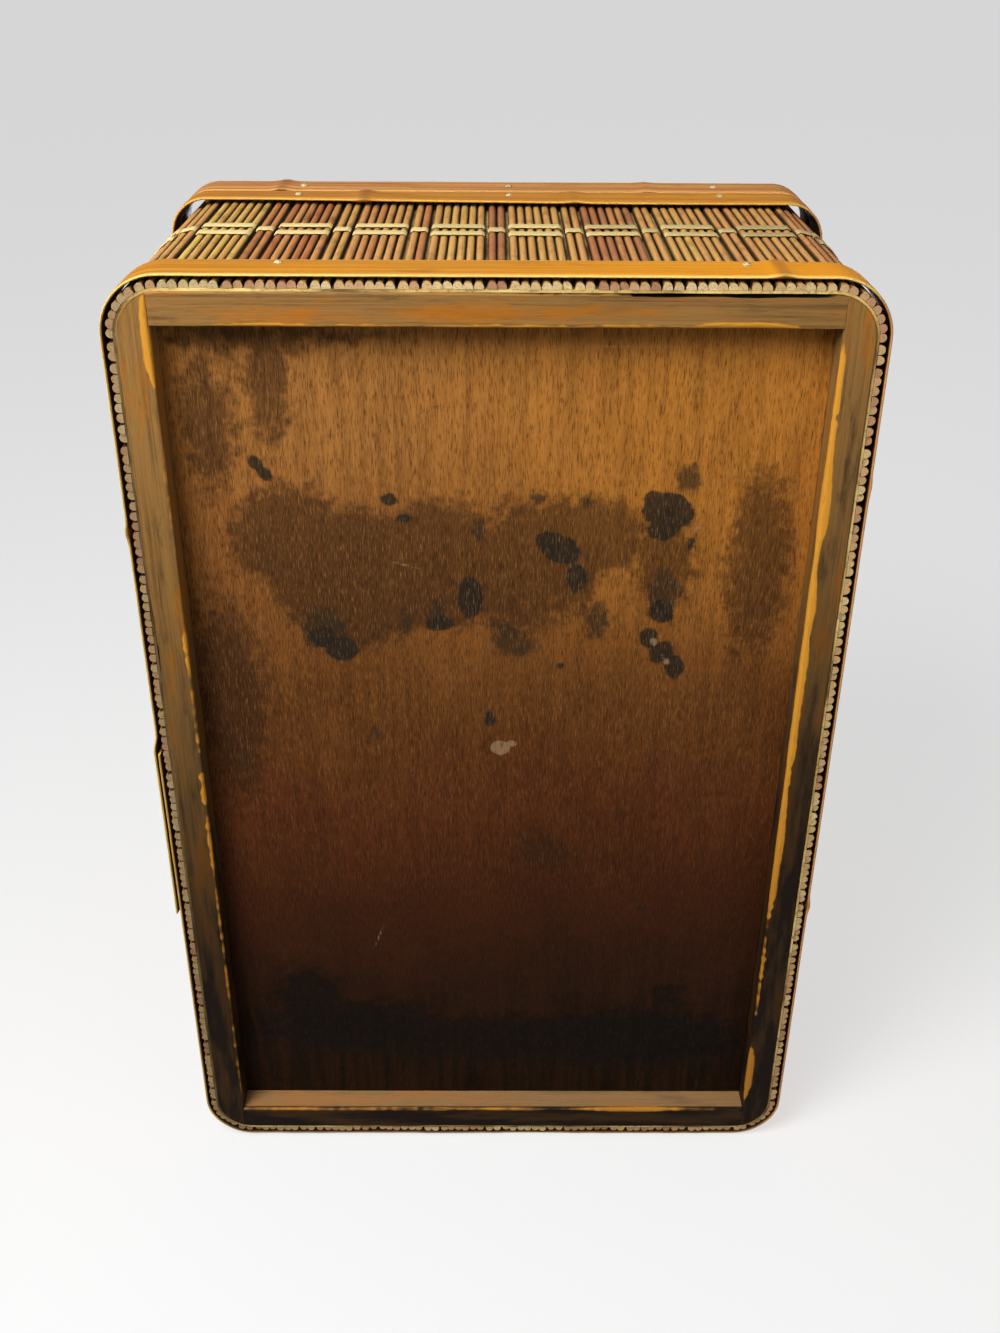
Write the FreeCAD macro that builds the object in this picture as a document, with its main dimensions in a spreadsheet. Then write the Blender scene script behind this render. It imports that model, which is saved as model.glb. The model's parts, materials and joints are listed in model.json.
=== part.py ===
"""Tambour lid box: a board box clad with upright split reeds, bound with bamboo bands,
and closed by a lid that is a cloth-backed mat of the same reeds, which rolls back.

Millimetres. X is the width, Y the length, Z is up. The box rests on Z = 0, with the
origin at the middle of its underside. The lid is hinged at the -Y end.
"""

import FreeCAD, Part
import math
import os

import Sketcher

os.makedirs("parts", exist_ok=True)
doc = FreeCAD.newDocument("tambour_lid_box")
V = FreeCAD.Vector
UP = V(0, 0, 1)

# Driving sizes
SIZES = {
    # the frame of boards
    "opening_width": 220.0,
    "opening_length": 347.6,
    "board_thickness": 11.0,
    "board_corner_radius": 14.7,
    "box_height": 155.0,
    "lip_height": 6.0,
    "panel_recess": 10.6,
    "panel_thickness": 4.0,
    "groove_depth": 3.0,
    "groove_clearance": 0.1,
    # nails through the side boards into the end boards
    "board_nail_radius": 1.0,
    "board_nail_length": 26.0,
    "board_nail_setback": 4.5,
    "board_nail_rows": 4,
    # the wall skin
    "liner_thickness": 0.8,
    "liner_lift": 0.4,
    "reed_width": 3.05,
    "reed_depth": 2.9,
    "reed_pitch": 3.45,
    "reed_lift": 0.6,
    "reed_top_gap": 0.8,
    "group_gap": 0.9,
    "wide_group_count": 6,
    "narrow_group_count": 2,
    "glue_gap": 0.05,
    "tie_thickness": 0.5,
    "tie_width": 6.5,
    "tie_level": 74.3,
    "tie_spacing": 11.5,
    # the bamboo bands and their tacks
    "band_thickness": 1.6,
    "bottom_band_width": 21.4,
    "band_lift": 0.6,
    "rim_strip_width": 20.2,
    "rim_strip_gap": 0.4,
    "rim_stand_off": 0.3,
    "rim_corner_gap": 2.4,
    "bottom_lap_start": 11.6,
    "bottom_lap_length": 76.0,
    "rim_lap_start": -30.0,
    "rim_lap_length": 60.0,
    "tack_radius": 0.5,
    "tack_head_radius": 1.5,
    "tack_head_rise": 0.8,
    "bottom_tack_spacing": 150.0,
    "rim_tack_spacing": 82.0,
    "tack_shift": 5.0,
    # the rolling lid
    "lid_side_clearance": 0.5,
    "lid_rest_gap": 0.1,
    "cloth_thickness": 0.5,
    "rail_width": 16.0,
    "rail_thickness": 4.2,
    "lid_unit_count": 11,
    "lid_group_gap": 0.85,
    "lid_reed_gap": 0.15,
    "lid_reed_height": 1.7,
    "lid_tie_inset": 26.0,
    "rail_nail_radius": 0.8,
    "rail_nail_length": 16.0,
    "rail_nail_head_radius": 1.9,
    "rail_nail_head_rise": 0.7,
    "rail_nail_inset": 15.0,
    "knob_radius": 5.5,
    "knob_neck_radius": 3.0,
    "knob_height": 8.0,
    "knob_screw_radius": 1.2,
    "knob_screw_length": 8.0,
    "knob_screw_head_radius": 2.6,
    "knob_screw_head_depth": 1.5,
}

sheet = doc.addObject("Spreadsheet::Sheet", "sizes")
for row, (alias, number) in enumerate(SIZES.items(), start=1):
    sheet.set(f"A{row}", alias)
    sheet.set(f"B{row}", str(number))
    sheet.setAlias(f"B{row}", alias)
doc.recompute()


def size(alias):
    """A driving size, read from the sheet."""
    return float(sheet.get(alias))


def ref(expression):
    """An expression on the sheet's aliases, with each alias made a reference to the sheet."""
    words = expression.replace("(", " ( ").replace(")", " ) ").split()
    return " ".join(f"sizes.{word}" if word in SIZES else word for word in words)


def bind(obj, **expressions):
    """Bind properties of an object to expressions on the sheet."""
    for name, expression in expressions.items():
        obj.setExpression(name, ref(expression))


def value(expression):
    """The number that an expression on the sheet's aliases stands for."""
    return float(sheet.evalExpression(ref(expression)))


# Sizes that follow from the driving ones, as expressions on them
HALF_BOARD_WIDTH = "opening_width / 2 + board_thickness"
HALF_BOARD_LENGTH = "opening_length / 2 + board_thickness"
BOARD_TOP = "box_height - lip_height"
PANEL_TOP = "panel_recess + panel_thickness"
CLOTH_BOTTOM = "box_height - lip_height + lid_rest_gap"
CLOTH_TOP = "box_height - lip_height + lid_rest_gap + cloth_thickness"
RAIL_TOP = "box_height - lip_height + lid_rest_gap + cloth_thickness + rail_thickness"


# Outlines with rounded corners, padded as bodies


def rounded_outline(sketch, half_width, half_length, radius):
    """A rounded rectangle about the sketch's origin, fully constrained and bound to the sheet."""
    x, y, r = value(half_width), value(half_length), value(radius)
    first = sketch.GeometryCount
    corners = [(x, y, 0.0), (-x, y, 90.0), (-x, -y, 180.0), (x, -y, 270.0)]
    for cx, cy, start in corners:
        centre = V(cx - math.copysign(r, cx), cy - math.copysign(r, cy), 0)
        circle = Part.Circle(centre, UP, r)
        begin = math.radians(start)
        sketch.addGeometry(Part.ArcOfCircle(circle, begin, begin + math.pi / 2), False)
    ends = [
        (V(x - r, y, 0), V(-x + r, y, 0)),
        (V(-x, y - r, 0), V(-x, -y + r, 0)),
        (V(-x + r, -y, 0), V(x - r, -y, 0)),
        (V(x, -y + r, 0), V(x, y - r, 0)),
    ]
    for begin, end in ends:
        sketch.addGeometry(Part.LineSegment(begin, end), False)
    for k in range(4):
        arc, line, next_arc = first + k, first + 4 + k, first + (k + 1) % 4
        sketch.addConstraint(Sketcher.Constraint("Tangent", arc, 2, line, 1))
        sketch.addConstraint(Sketcher.Constraint("Tangent", line, 2, next_arc, 1))
        kind = "Horizontal" if k % 2 == 0 else "Vertical"
        sketch.addConstraint(Sketcher.Constraint(kind, line))
        if k:
            sketch.addConstraint(Sketcher.Constraint("Equal", first, arc))
    dimensions = [
        (Sketcher.Constraint("DistanceY", -1, 1, first + 4, 1, y), half_length),
        (Sketcher.Constraint("DistanceX", first + 5, 1, -1, 1, x), half_width),
        (Sketcher.Constraint("DistanceY", first + 6, 1, -1, 1, y), half_length),
        (Sketcher.Constraint("DistanceX", -1, 1, first + 7, 1, x), half_width),
        (Sketcher.Constraint("Radius", first, r), radius),
    ]
    for constraint, expression in dimensions:
        index = sketch.addConstraint(constraint)
        sketch.setExpression(f"Constraints[{index}]", ref(expression))


def padded_outlines(name, label, outlines, bottom, height):
    """A body: the area inside the first outline and outside the second, padded upwards."""
    body = doc.addObject("PartDesign::Body", name)
    sketch = body.newObject("Sketcher::SketchObject", name + "_outline")
    plane = [f for f in body.Origin.OriginFeatures if f.Role == "XY_Plane"][0]
    sketch.AttachmentSupport = [(plane, "")]
    sketch.MapMode = "FlatFace"
    sketch.setExpression("AttachmentOffset.Base.z", ref(bottom))
    for outline in outlines:
        rounded_outline(sketch, *outline)
    doc.recompute()
    pad = body.newObject("PartDesign::Pad", name + "_pad")
    pad.Profile = sketch
    pad.setExpression("Length", ref(height))
    doc.recompute()
    body.Label = label
    return body


def block(name, x0, x1, y0, y1, z0, z1):
    """A box between two corners, bound to the sheet."""
    box = doc.addObject("Part::Box", name)
    bind(
        box,
        Length=f"( {x1} ) - ( {x0} )",
        Width=f"( {y1} ) - ( {y0} )",
        Height=f"( {z1} ) - ( {z0} )",
    )
    for axis, low in (("x", x0), ("y", y0), ("z", z0)):
        box.setExpression(f"Placement.Base.{axis}", ref(low))
    return box


def rod(name, radius, length, place, direction):
    """A round rod bound to the sheet, from a place along a direction."""
    cylinder = doc.addObject("Part::Cylinder", name)
    bind(cylinder, Radius=radius, Height=length)
    cylinder.Placement.Rotation = FreeCAD.Rotation(UP, direction)
    for axis, position in zip("xyz", place):
        cylinder.setExpression(f"Placement.Base.{axis}", ref(position))
    return cylinder


def cut(name, label, base, *tools):
    """Base with the tools cut out of it."""
    tool = tools[0]
    if len(tools) > 1:
        tool = doc.addObject("Part::MultiFuse", name + "_tools")
        tool.Shapes = list(tools)
    result = doc.addObject("Part::Cut", name)
    result.Base = base
    result.Tool = tool
    result.Label = label
    return result


def common(name, label, first, second):
    result = doc.addObject("Part::Common", name)
    result.Base = first
    result.Tool = second
    result.Label = label
    return result


def gathered(label, solids):
    """A node of several separate solids, such as like nails, from shapes."""
    feature = doc.addObject("Part::Feature", label)
    feature.Shape = Part.Compound(solids) if len(solids) > 1 else solids[0]
    feature.Label = label
    return feature


# The frame of boards: two full-length sides with rounded corners, two ends between them

board_form = (HALF_BOARD_WIDTH, HALF_BOARD_LENGTH, "board_corner_radius")
outer_form = padded_outlines(
    "BoardForm", "board_form", [board_form], "0", BOARD_TOP
)

groove = block(
    "PanelGroove",
    "0 - opening_width / 2 - groove_depth",
    "opening_width / 2 + groove_depth",
    "0 - opening_length / 2 - groove_depth",
    "opening_length / 2 + groove_depth",
    "panel_recess - groove_clearance",
    f"{PANEL_TOP} + groove_clearance",
)


def nail_places():
    """Each board nail's start height, as an expression, and its side and end."""
    rows = int(size("board_nail_rows"))
    for end in (-1, 1):
        for side in (-1, 1):
            for row in range(rows):
                share = (row + 0.5) / rows
                height = f"{PANEL_TOP} + ( {BOARD_TOP} - ( {PANEL_TOP} ) ) * {share}"
                yield end, side, height


def nail_rod(name, end, side, height, clearance):
    x = f"{side} * ( {HALF_BOARD_WIDTH} - board_nail_setback )"
    y = f"{end} * ( opening_length / 2 + board_thickness / 2 )"
    radius = f"board_nail_radius + {clearance}"
    return rod(name, radius, "board_nail_length", (x, y, height), V(-side, 0, 0))


def access_rod(name, end, side, height):
    """The countersink that a sunk nail leaves behind its head, out to the board's face."""
    x = f"{side} * ( {HALF_BOARD_WIDTH} - board_nail_setback )"
    y = f"{end} * ( opening_length / 2 + board_thickness / 2 )"
    radius = "board_nail_radius + glue_gap"
    return rod(name, radius, "board_nail_setback", (x, y, height), V(side, 0, 0))


def rail_nail_rods(name, radius, length, bottom):
    """A rod at each of the three places where the back rail is nailed to the back board."""
    rods = []
    for place in (-1, 0, 1):
        x = f"{place} * ( opening_width / 2 - rail_nail_inset )"
        y = "0 - opening_length / 2 - board_thickness / 2"
        rods.append(rod(f"{name}{place + 1}", radius, length, (x, y, bottom), UP))
    return rods


holes = {}
nails = []
for number, (end, side, height) in enumerate(nail_places()):
    nails.append(nail_rod(f"BoardNail{number}", end, side, height, "0"))
    for board in (("side", side), ("end", end)):
        name = f"{board[0].title()}Hole{number}"
        holes.setdefault(board, []).append(nail_rod(name, end, side, height, "glue_gap"))
    holes[("side", side)].append(access_rod(f"Countersink{number}", end, side, height))

SIDE_NAMES = {-1: "right", 1: "left"}
END_NAMES = {-1: "back", 1: "front"}
for side, name in SIDE_NAMES.items():
    near, far = "opening_width / 2", HALF_BOARD_WIDTH
    x0, x1 = (near, far) if side > 0 else (f"0 - ( {far} )", f"0 - ( {near} )")
    plank = block(
        f"SidePlank{name}",
        x0,
        x1,
        f"0 - ( {HALF_BOARD_LENGTH} )",
        HALF_BOARD_LENGTH,
        "0",
        BOARD_TOP,
    )
    rounded = common(f"SideForm{name}", f"side_form_{name}", plank, outer_form)
    cut(f"SideBoard{name}", f"side_board_{name}", rounded, groove, *holes[("side", side)])

for end, name in END_NAMES.items():
    near, far = "opening_length / 2", HALF_BOARD_LENGTH
    y0, y1 = (near, far) if end > 0 else (f"0 - ( {far} )", f"0 - ( {near} )")
    plank = block(
        f"EndPlank{name}",
        "0 - opening_width / 2",
        "opening_width / 2",
        y0,
        y1,
        "0",
        BOARD_TOP,
    )
    rounded = common(f"EndForm{name}", f"end_form_{name}", plank, outer_form)
    rail_holes = []
    if end < 0:
        rail_holes = rail_nail_rods(
            "RailHole",
            "rail_nail_radius + glue_gap",
            "rail_nail_length + glue_gap",
            f"{BOARD_TOP} - rail_nail_length + lip_height - glue_gap",
        )
    cut(
        f"EndBoard{name}",
        f"end_board_{name}",
        rounded,
        groove,
        *holes[("end", end)],
        *rail_holes,
    )

panel_half_width = "opening_width / 2 + groove_depth - groove_clearance"
panel_half_length = "opening_length / 2 + groove_depth - groove_clearance"
panel = block(
    "BottomPanel",
    f"0 - ( {panel_half_width} )",
    panel_half_width,
    f"0 - ( {panel_half_length} )",
    panel_half_length,
    "panel_recess",
    PANEL_TOP,
)
panel.Label = "bottom_panel"

nail_group = doc.addObject("Part::Compound", "BoardNails")
nail_group.Links = nails
nail_group.Label = "board_nails"

# The liner: a thin sheet bent round the boards and standing up past them as the lip
liner_inside = tuple(f"{part} + glue_gap" for part in board_form)
liner_outside = tuple(f"{part} + glue_gap + liner_thickness" for part in board_form)
padded_outlines(
    "WallLiner",
    "wall_liner",
    [liner_outside, liner_inside],
    "liner_lift",
    "box_height - liner_lift - reed_top_gap",
)

doc.recompute()


# Everything below follows a line that runs round the box at some distance outside the boards


class Course:
    """A rounded rectangle walked from the middle of the +Y end towards -X.

    Distances along it are measured on its own line, and an offset moves a point outwards.
    """

    def __init__(self, half_width, half_length, radius):
        a, b, r = half_width, half_length, radius
        self.radius = r
        turn = math.pi / 2
        self.legs = [
            ("line", V(0, b, 0), V(-1, 0, 0), a - r),
            ("arc", V(r - a, b - r, 0), turn, r * turn),
            ("line", V(-a, b - r, 0), V(0, -1, 0), 2 * (b - r)),
            ("arc", V(r - a, r - b, 0), 2 * turn, r * turn),
            ("line", V(r - a, -b, 0), V(1, 0, 0), 2 * (a - r)),
            ("arc", V(a - r, r - b, 0), 3 * turn, r * turn),
            ("line", V(a, r - b, 0), V(0, 1, 0), 2 * (b - r)),
            ("arc", V(a - r, b - r, 0), 0.0, r * turn),
            ("line", V(a - r, b, 0), V(-1, 0, 0), a - r),
        ]
        self.length = sum(leg[3] for leg in self.legs)

    def point(self, leg, along, offset):
        """The point of a leg at a distance along it, moved outwards, and the outward normal."""
        kind, place, heading, _ = leg
        if kind == "line":
            outward = V(heading.y, -heading.x, 0)
            return place + heading * along + outward * offset, outward
        angle = heading + along / self.radius
        outward = V(math.cos(angle), math.sin(angle), 0)
        return place + outward * (self.radius + offset), outward

    def at(self, distance, offset=0.0):
        distance %= self.length
        for leg in self.legs:
            if distance <= leg[3]:
                return self.point(leg, distance, offset)
            distance -= leg[3]
        return self.point(self.legs[-1], self.legs[-1][3], offset)

    def edges(self, start, end, offset):
        """The edges of the line from start to end, moved outwards."""
        found, base = [], math.floor(start / self.length) * self.length
        while base < end:
            for leg in self.legs:
                low, high = max(start, base), min(end, base + leg[3])
                if high - low > 1e-6:
                    first, _ = self.point(leg, low - base, offset)
                    last, _ = self.point(leg, high - base, offset)
                    if leg[0] == "line":
                        found.append(Part.LineSegment(first, last).toShape())
                    else:
                        middle, _ = self.point(leg, (low + high) / 2 - base, offset)
                        found.append(Part.Arc(first, middle, last).toShape())
                base += leg[3]
        return found

    def strip(self, start, end, inner, outer, bottom, height):
        """A flat strip bent along the line, between two offsets, standing on its edge."""
        inside = self.edges(start, end, inner)
        outside = self.edges(start, end, outer)
        ends = [
            Part.LineSegment(inside[0].Vertexes[0].Point, outside[0].Vertexes[0].Point),
            Part.LineSegment(inside[-1].Vertexes[-1].Point, outside[-1].Vertexes[-1].Point),
        ]
        wire = Part.Wire(Part.__sortEdges__(inside + outside + [e.toShape() for e in ends]))
        solid = Part.Face(wire).extrude(V(0, 0, height))
        solid.translate(V(0, 0, bottom))
        return solid

    def straight_run(self, wall):
        """Half of a wall's straight length: wall 0 is an end and wall 1 a long side."""
        return self.legs[2][3] / 2 if wall else self.legs[0][3]

    def along_side(self, y, side):
        """The distance along the line of a place on a long side."""
        leg = self.legs[6] if side > 0 else self.legs[2]
        before = sum(other[3] for other in self.legs[: 6 if side > 0 else 2])
        return before + abs(y - leg[1].y)


wall_face = size("glue_gap") + size("liner_thickness")
reed_back = wall_face + size("glue_gap") * 2
reed_front = reed_back + size("reed_depth")
half_width = value(HALF_BOARD_WIDTH)
half_length = value(HALF_BOARD_LENGTH)
corner_radius = size("board_corner_radius")
middle = reed_back + size("reed_depth") / 2
reed_line = Course(half_width + middle, half_length + middle, corner_radius + middle)

# The wall reeds stand in units of one narrow and one wide group, an even number of units
reeds_in_unit = int(size("narrow_group_count") + size("wide_group_count"))
unit_count = 2 * round(reed_line.length / (2 * reeds_in_unit * size("reed_pitch")))
unit_length = reed_line.length / unit_count
close_pitch = (unit_length - 2 * size("group_gap")) / reeds_in_unit


def reed_solid(place, outward, depth, width, bottom, height):
    """A split reed: a flat back, short straight sides and a half-round front, upright."""
    across = V(-outward.y, outward.x, 0)
    half = width / 2
    shoulder = depth - half

    def spot(sideways, out):
        return place + across * sideways + outward * out

    edges = [
        Part.LineSegment(spot(-half, 0), spot(half, 0)).toShape(),
        Part.LineSegment(spot(half, 0), spot(half, shoulder)).toShape(),
        Part.Arc(spot(half, shoulder), spot(0, depth), spot(-half, shoulder)).toShape(),
        Part.LineSegment(spot(-half, shoulder), spot(-half, 0)).toShape(),
    ]
    solid = Part.Face(Part.Wire(edges)).extrude(V(0, 0, height))
    solid.translate(V(0, 0, bottom))
    return solid


def side_of(point):
    """The wall that a point of the course belongs to."""
    if abs(point.x) / half_width > abs(point.y) / half_length:
        return "left" if point.x > 0 else "right"
    return "front" if point.y > 0 else "back"


def groups():
    """Each group's reed count and the distance along the course of its middle."""
    for unit in range(unit_count):
        yield int(size("narrow_group_count")), unit * unit_length
        yield int(size("wide_group_count")), (unit + 0.5) * unit_length


reeds = {wall: [] for wall in ("left", "right", "front", "back")}
ties = {wall: [] for wall in reeds}
reed_height = size("box_height") - size("reed_lift") - size("reed_top_gap")
tie_inner = reed_front - middle + size("glue_gap")
tie_outer = tie_inner + size("tie_thickness")
for count, centre in groups():
    wall = side_of(reed_line.at(centre)[0])
    for number in range(count):
        along = centre + (number - (count - 1) / 2) * close_pitch
        foot, outward = reed_line.at(along, reed_back - middle)
        reeds[wall].append(
            reed_solid(
                foot,
                outward,
                size("reed_depth"),
                size("reed_width"),
                size("reed_lift"),
                reed_height,
            )
        )
    reach = (count - 1) / 2 * close_pitch + size("reed_width") * 0.3
    spread = size("tie_spacing") / 2 if count == int(size("wide_group_count")) else 0.0
    for level in {size("tie_level") - spread, size("tie_level") + spread}:
        bottom = level - size("tie_width") / 2
        ties[wall].append(
            reed_line.strip(
                centre - reach, centre + reach, tie_inner, tie_outer, bottom, size("tie_width")
            )
        )
for wall, solids in reeds.items():
    gathered(f"reeds_{wall}", solids)
for wall, solids in ties.items():
    gathered(f"cane_ties_{wall}", solids)


# The bamboo bands: flat strips bent round the reeds, tacked, with their ends lapped


def tack_solids(course, distance, level, layers):
    """A round-headed tack through one or two layers of a band, and the hole for its shank."""
    thickness, radius = layers * size("band_thickness"), size("tack_radius")
    face, outward = course.at(distance, thickness)
    face = face + V(0, 0, level)
    rise, head_radius = size("tack_head_rise"), size("tack_head_radius")
    ball = (head_radius**2 + rise**2) / (2 * rise)
    tilt = math.asin(head_radius / ball) / 2
    shoulder = V(ball * math.sin(tilt), 0, ball * math.cos(tilt) - ball + rise)
    edges = [
        Part.Arc(V(0, 0, rise), shoulder, V(head_radius, 0, 0)).toShape(),
        Part.LineSegment(V(head_radius, 0, 0), V(radius, 0, 0)).toShape(),
        Part.LineSegment(V(radius, 0, 0), V(radius, 0, -thickness)).toShape(),
        Part.LineSegment(V(radius, 0, -thickness), V(0, 0, -thickness)).toShape(),
        Part.LineSegment(V(0, 0, -thickness), V(0, 0, rise)).toShape(),
    ]
    tack = Part.Face(Part.Wire(edges)).revolve(V(0, 0, 0), UP, 360)
    tack = tack.Solids[0] if tack.Solids else Part.Solid(tack)
    tack.Placement = FreeCAD.Placement(face, FreeCAD.Rotation(UP, outward))
    start = face + outward * thickness
    hole = Part.makeCylinder(radius + size("glue_gap"), thickness * 3, start, -outward)
    return tack, hole


def wall_tacks(course, spacing, first, level, lap):
    """Tacks spread about the middle of each wall as far as its straight run, at one height.

    The first stands that share of a spacing from the middle, and like the rest it is shifted.
    A tack within the lap goes through both layers of the band.
    """
    places = []
    lap_start, lap_end = sorted(lap)
    for quarter in range(4):
        run = (course.straight_run(quarter % 2) - size("tack_shift")) / spacing
        step = first
        while step < run:
            for share in {-step, step}:
                distance = quarter * course.length / 4 + share * spacing + size("tack_shift")
                layers = 2 if lap_start < distance < lap_end else 1
                places.append((distance, level, layers))
            step += 1
    return places


def band(label, course, bottom, height, lap, tacks):
    """A band all the way round, its lapped end outside, bored for its tacks."""
    thickness = size("band_thickness")
    solid = course.strip(0.0, course.length / 2, 0.0, thickness, bottom, height)
    solid = solid.fuse(
        course.strip(course.length / 2, course.length, 0.0, thickness, bottom, height)
    )
    lap_start, lap_end = sorted(lap)
    solid = solid.fuse(
        course.strip(lap_start, lap_end, thickness, 2 * thickness, bottom, height)
    ).removeSplitter()
    holes = [tack_solids(course, *tack)[1] for tack in tacks]
    solid = solid.cut(Part.Compound(holes))
    gathered(label, solid.Solids)


bottom_course = Course(
    half_width + reed_front + size("glue_gap"),
    half_length + reed_front + size("glue_gap"),
    corner_radius + reed_front + size("glue_gap"),
)
rim_out = reed_front + size("rim_stand_off")
rim_corner = corner_radius + rim_out - size("rim_corner_gap") / (math.sqrt(2) - 1)
rim_course = Course(half_width + rim_out, half_length + rim_out, rim_corner)

bottom_level = size("band_lift")
bottom_height = size("bottom_band_width")
upper_bottom = size("box_height") - size("rim_strip_width")
lower_bottom = upper_bottom - size("rim_strip_gap") - size("rim_strip_width")
strip_height = size("rim_strip_width")

# how high up its own width each band is tacked
BOTTOM_TACK_SHARE = 0.70
LOWER_TACK_SHARE = 0.55
UPPER_TACK_SHARE = 0.42

bottom_lap_end = size("bottom_lap_start") - size("bottom_lap_length")
bottom_lap = [
    bottom_course.along_side(size("bottom_lap_start"), 1),
    bottom_course.along_side(bottom_lap_end, 1),
]
rim_lap_end = size("rim_lap_start") + size("rim_lap_length")
rim_lap = [
    rim_course.along_side(size("rim_lap_start"), -1),
    rim_course.along_side(rim_lap_end, -1),
]

bottom_tacks = wall_tacks(
    bottom_course,
    size("bottom_tack_spacing"),
    0.5,
    bottom_level + bottom_height * BOTTOM_TACK_SHARE,
    bottom_lap,
)
lower_tacks = wall_tacks(
    rim_course,
    size("rim_tack_spacing"),
    0.0,
    lower_bottom + strip_height * LOWER_TACK_SHARE,
    rim_lap,
)
upper_tacks = wall_tacks(
    rim_course,
    size("rim_tack_spacing"),
    0.0,
    upper_bottom + strip_height * UPPER_TACK_SHARE,
    rim_lap,
)
band("bottom_band", bottom_course, bottom_level, bottom_height, bottom_lap, bottom_tacks)
band("rim_band_lower", rim_course, lower_bottom, strip_height, rim_lap, lower_tacks)
band("rim_band_upper", rim_course, upper_bottom, strip_height, rim_lap, upper_tacks)
gathered("bottom_tacks", [tack_solids(bottom_course, *tack)[0] for tack in bottom_tacks])
gathered("rim_tacks_lower", [tack_solids(rim_course, *tack)[0] for tack in lower_tacks])
gathered("rim_tacks_upper", [tack_solids(rim_course, *tack)[0] for tack in upper_tacks])


# The lid: a back rail nailed to the box, a mat of reed slats on cloth, and a lead rail

lid_form_size = (
    f"{HALF_BOARD_WIDTH} - lid_side_clearance",
    f"{HALF_BOARD_LENGTH} - lid_side_clearance",
    "board_corner_radius - lid_side_clearance",
)
rail_form = padded_outlines(
    "RailForm", "rail_form", [lid_form_size], CLOTH_TOP, "rail_thickness"
)
hem_form = padded_outlines(
    "HemForm", "hem_form", [lid_form_size], CLOTH_BOTTOM, "cloth_thickness"
)
LID_END = lid_form_size[1]


def end_block(name, end, low, high):
    """A box over one end of the lid, as wide as a rail, for cutting a form."""
    near, far = f"{LID_END} - rail_width", LID_END
    y0, y1 = (near, far) if end > 0 else (f"0 - ( {far} )", f"0 - ( {near} )")
    x = lid_form_size[0]
    return block(name, f"0 - ( {x} )", x, y0, y1, low, high)


def nail_bores(name):
    """The bores that the back rail's nails pass through."""
    radius = "rail_nail_radius + glue_gap"
    return rail_nail_rods(name, radius, "rail_thickness + lip_height", BOARD_TOP)


knob_y = f"{LID_END} - rail_width / 2"
back_rail = common(
    "BackRailForm",
    "back_rail_form",
    rail_form,
    end_block("BackRailBlock", -1, CLOTH_TOP, RAIL_TOP),
)
cut("BackRail", "lid_back_rail", back_rail, *nail_bores("BackRailBore"))
back_hem = common(
    "BackHemForm",
    "back_hem_form",
    hem_form,
    end_block("BackHemBlock", -1, CLOTH_BOTTOM, CLOTH_TOP),
)
cut("BackHem", "lid_cloth_back_hem", back_hem, *nail_bores("BackHemBore"))

front_rail = common(
    "LeadRailForm",
    "lead_rail_form",
    rail_form,
    end_block("LeadRailBlock", 1, CLOTH_TOP, RAIL_TOP),
)
screw_bore = rod(
    "LeadRailBore",
    "knob_screw_radius + glue_gap",
    "rail_thickness + cloth_thickness",
    ("0", knob_y, CLOTH_BOTTOM),
    UP,
)
head_bore = rod(
    "LeadRailHeadBore",
    "knob_screw_head_radius + glue_gap",
    "knob_screw_head_depth + cloth_thickness + glue_gap",
    ("0", knob_y, CLOTH_BOTTOM),
    UP,
)
cut("LeadRail", "lid_lead_rail", front_rail, screw_bore, head_bore)
front_hem = common(
    "LeadHemForm",
    "lead_hem_form",
    hem_form,
    end_block("LeadHemBlock", 1, CLOTH_BOTTOM, CLOTH_TOP),
)
hem_bore = rod(
    "LeadHemBore",
    "knob_screw_head_radius + glue_gap",
    "cloth_thickness",
    ("0", knob_y, CLOTH_BOTTOM),
    UP,
)
cut("LeadHem", "lid_cloth_lead_hem", front_hem, hem_bore)

shanks = rail_nail_rods(
    "RailNail",
    "rail_nail_radius",
    f"{RAIL_TOP} - ( {BOARD_TOP} ) + rail_nail_length - lip_height",
    f"{BOARD_TOP} - rail_nail_length + lip_height",
)
heads = rail_nail_rods(
    "RailNailHead", "rail_nail_head_radius", "rail_nail_head_rise", RAIL_TOP
)
rail_nails = []
for number, (shank, head) in enumerate(zip(shanks, heads)):
    nail = doc.addObject("Part::Fuse", f"RailNailWhole{number}")
    nail.Base = shank
    nail.Tool = head
    rail_nails.append(nail)
nail_group = doc.addObject("Part::Compound", "RailNails")
nail_group.Links = rail_nails
nail_group.Label = "lid_rail_nails"


def slat_spans():
    """Each slat's reed count and its first and last place along Y, hinge line to hinge line."""
    wide, narrow = int(size("wide_group_count")), int(size("narrow_group_count"))
    counts = [wide, narrow] * int(size("lid_unit_count")) + [wide]
    free = 2 * (value(LID_END) - size("rail_width")) - size("lid_group_gap")
    pitch = (free - len(counts) * size("lid_group_gap")) / sum(counts)
    place = -value(LID_END) + size("rail_width") + size("lid_group_gap") / 2
    for count in counts:
        end = place + count * pitch + size("lid_group_gap")
        yield count, place, end, pitch
        place = end


lid_half = value(lid_form_size[0])


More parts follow.
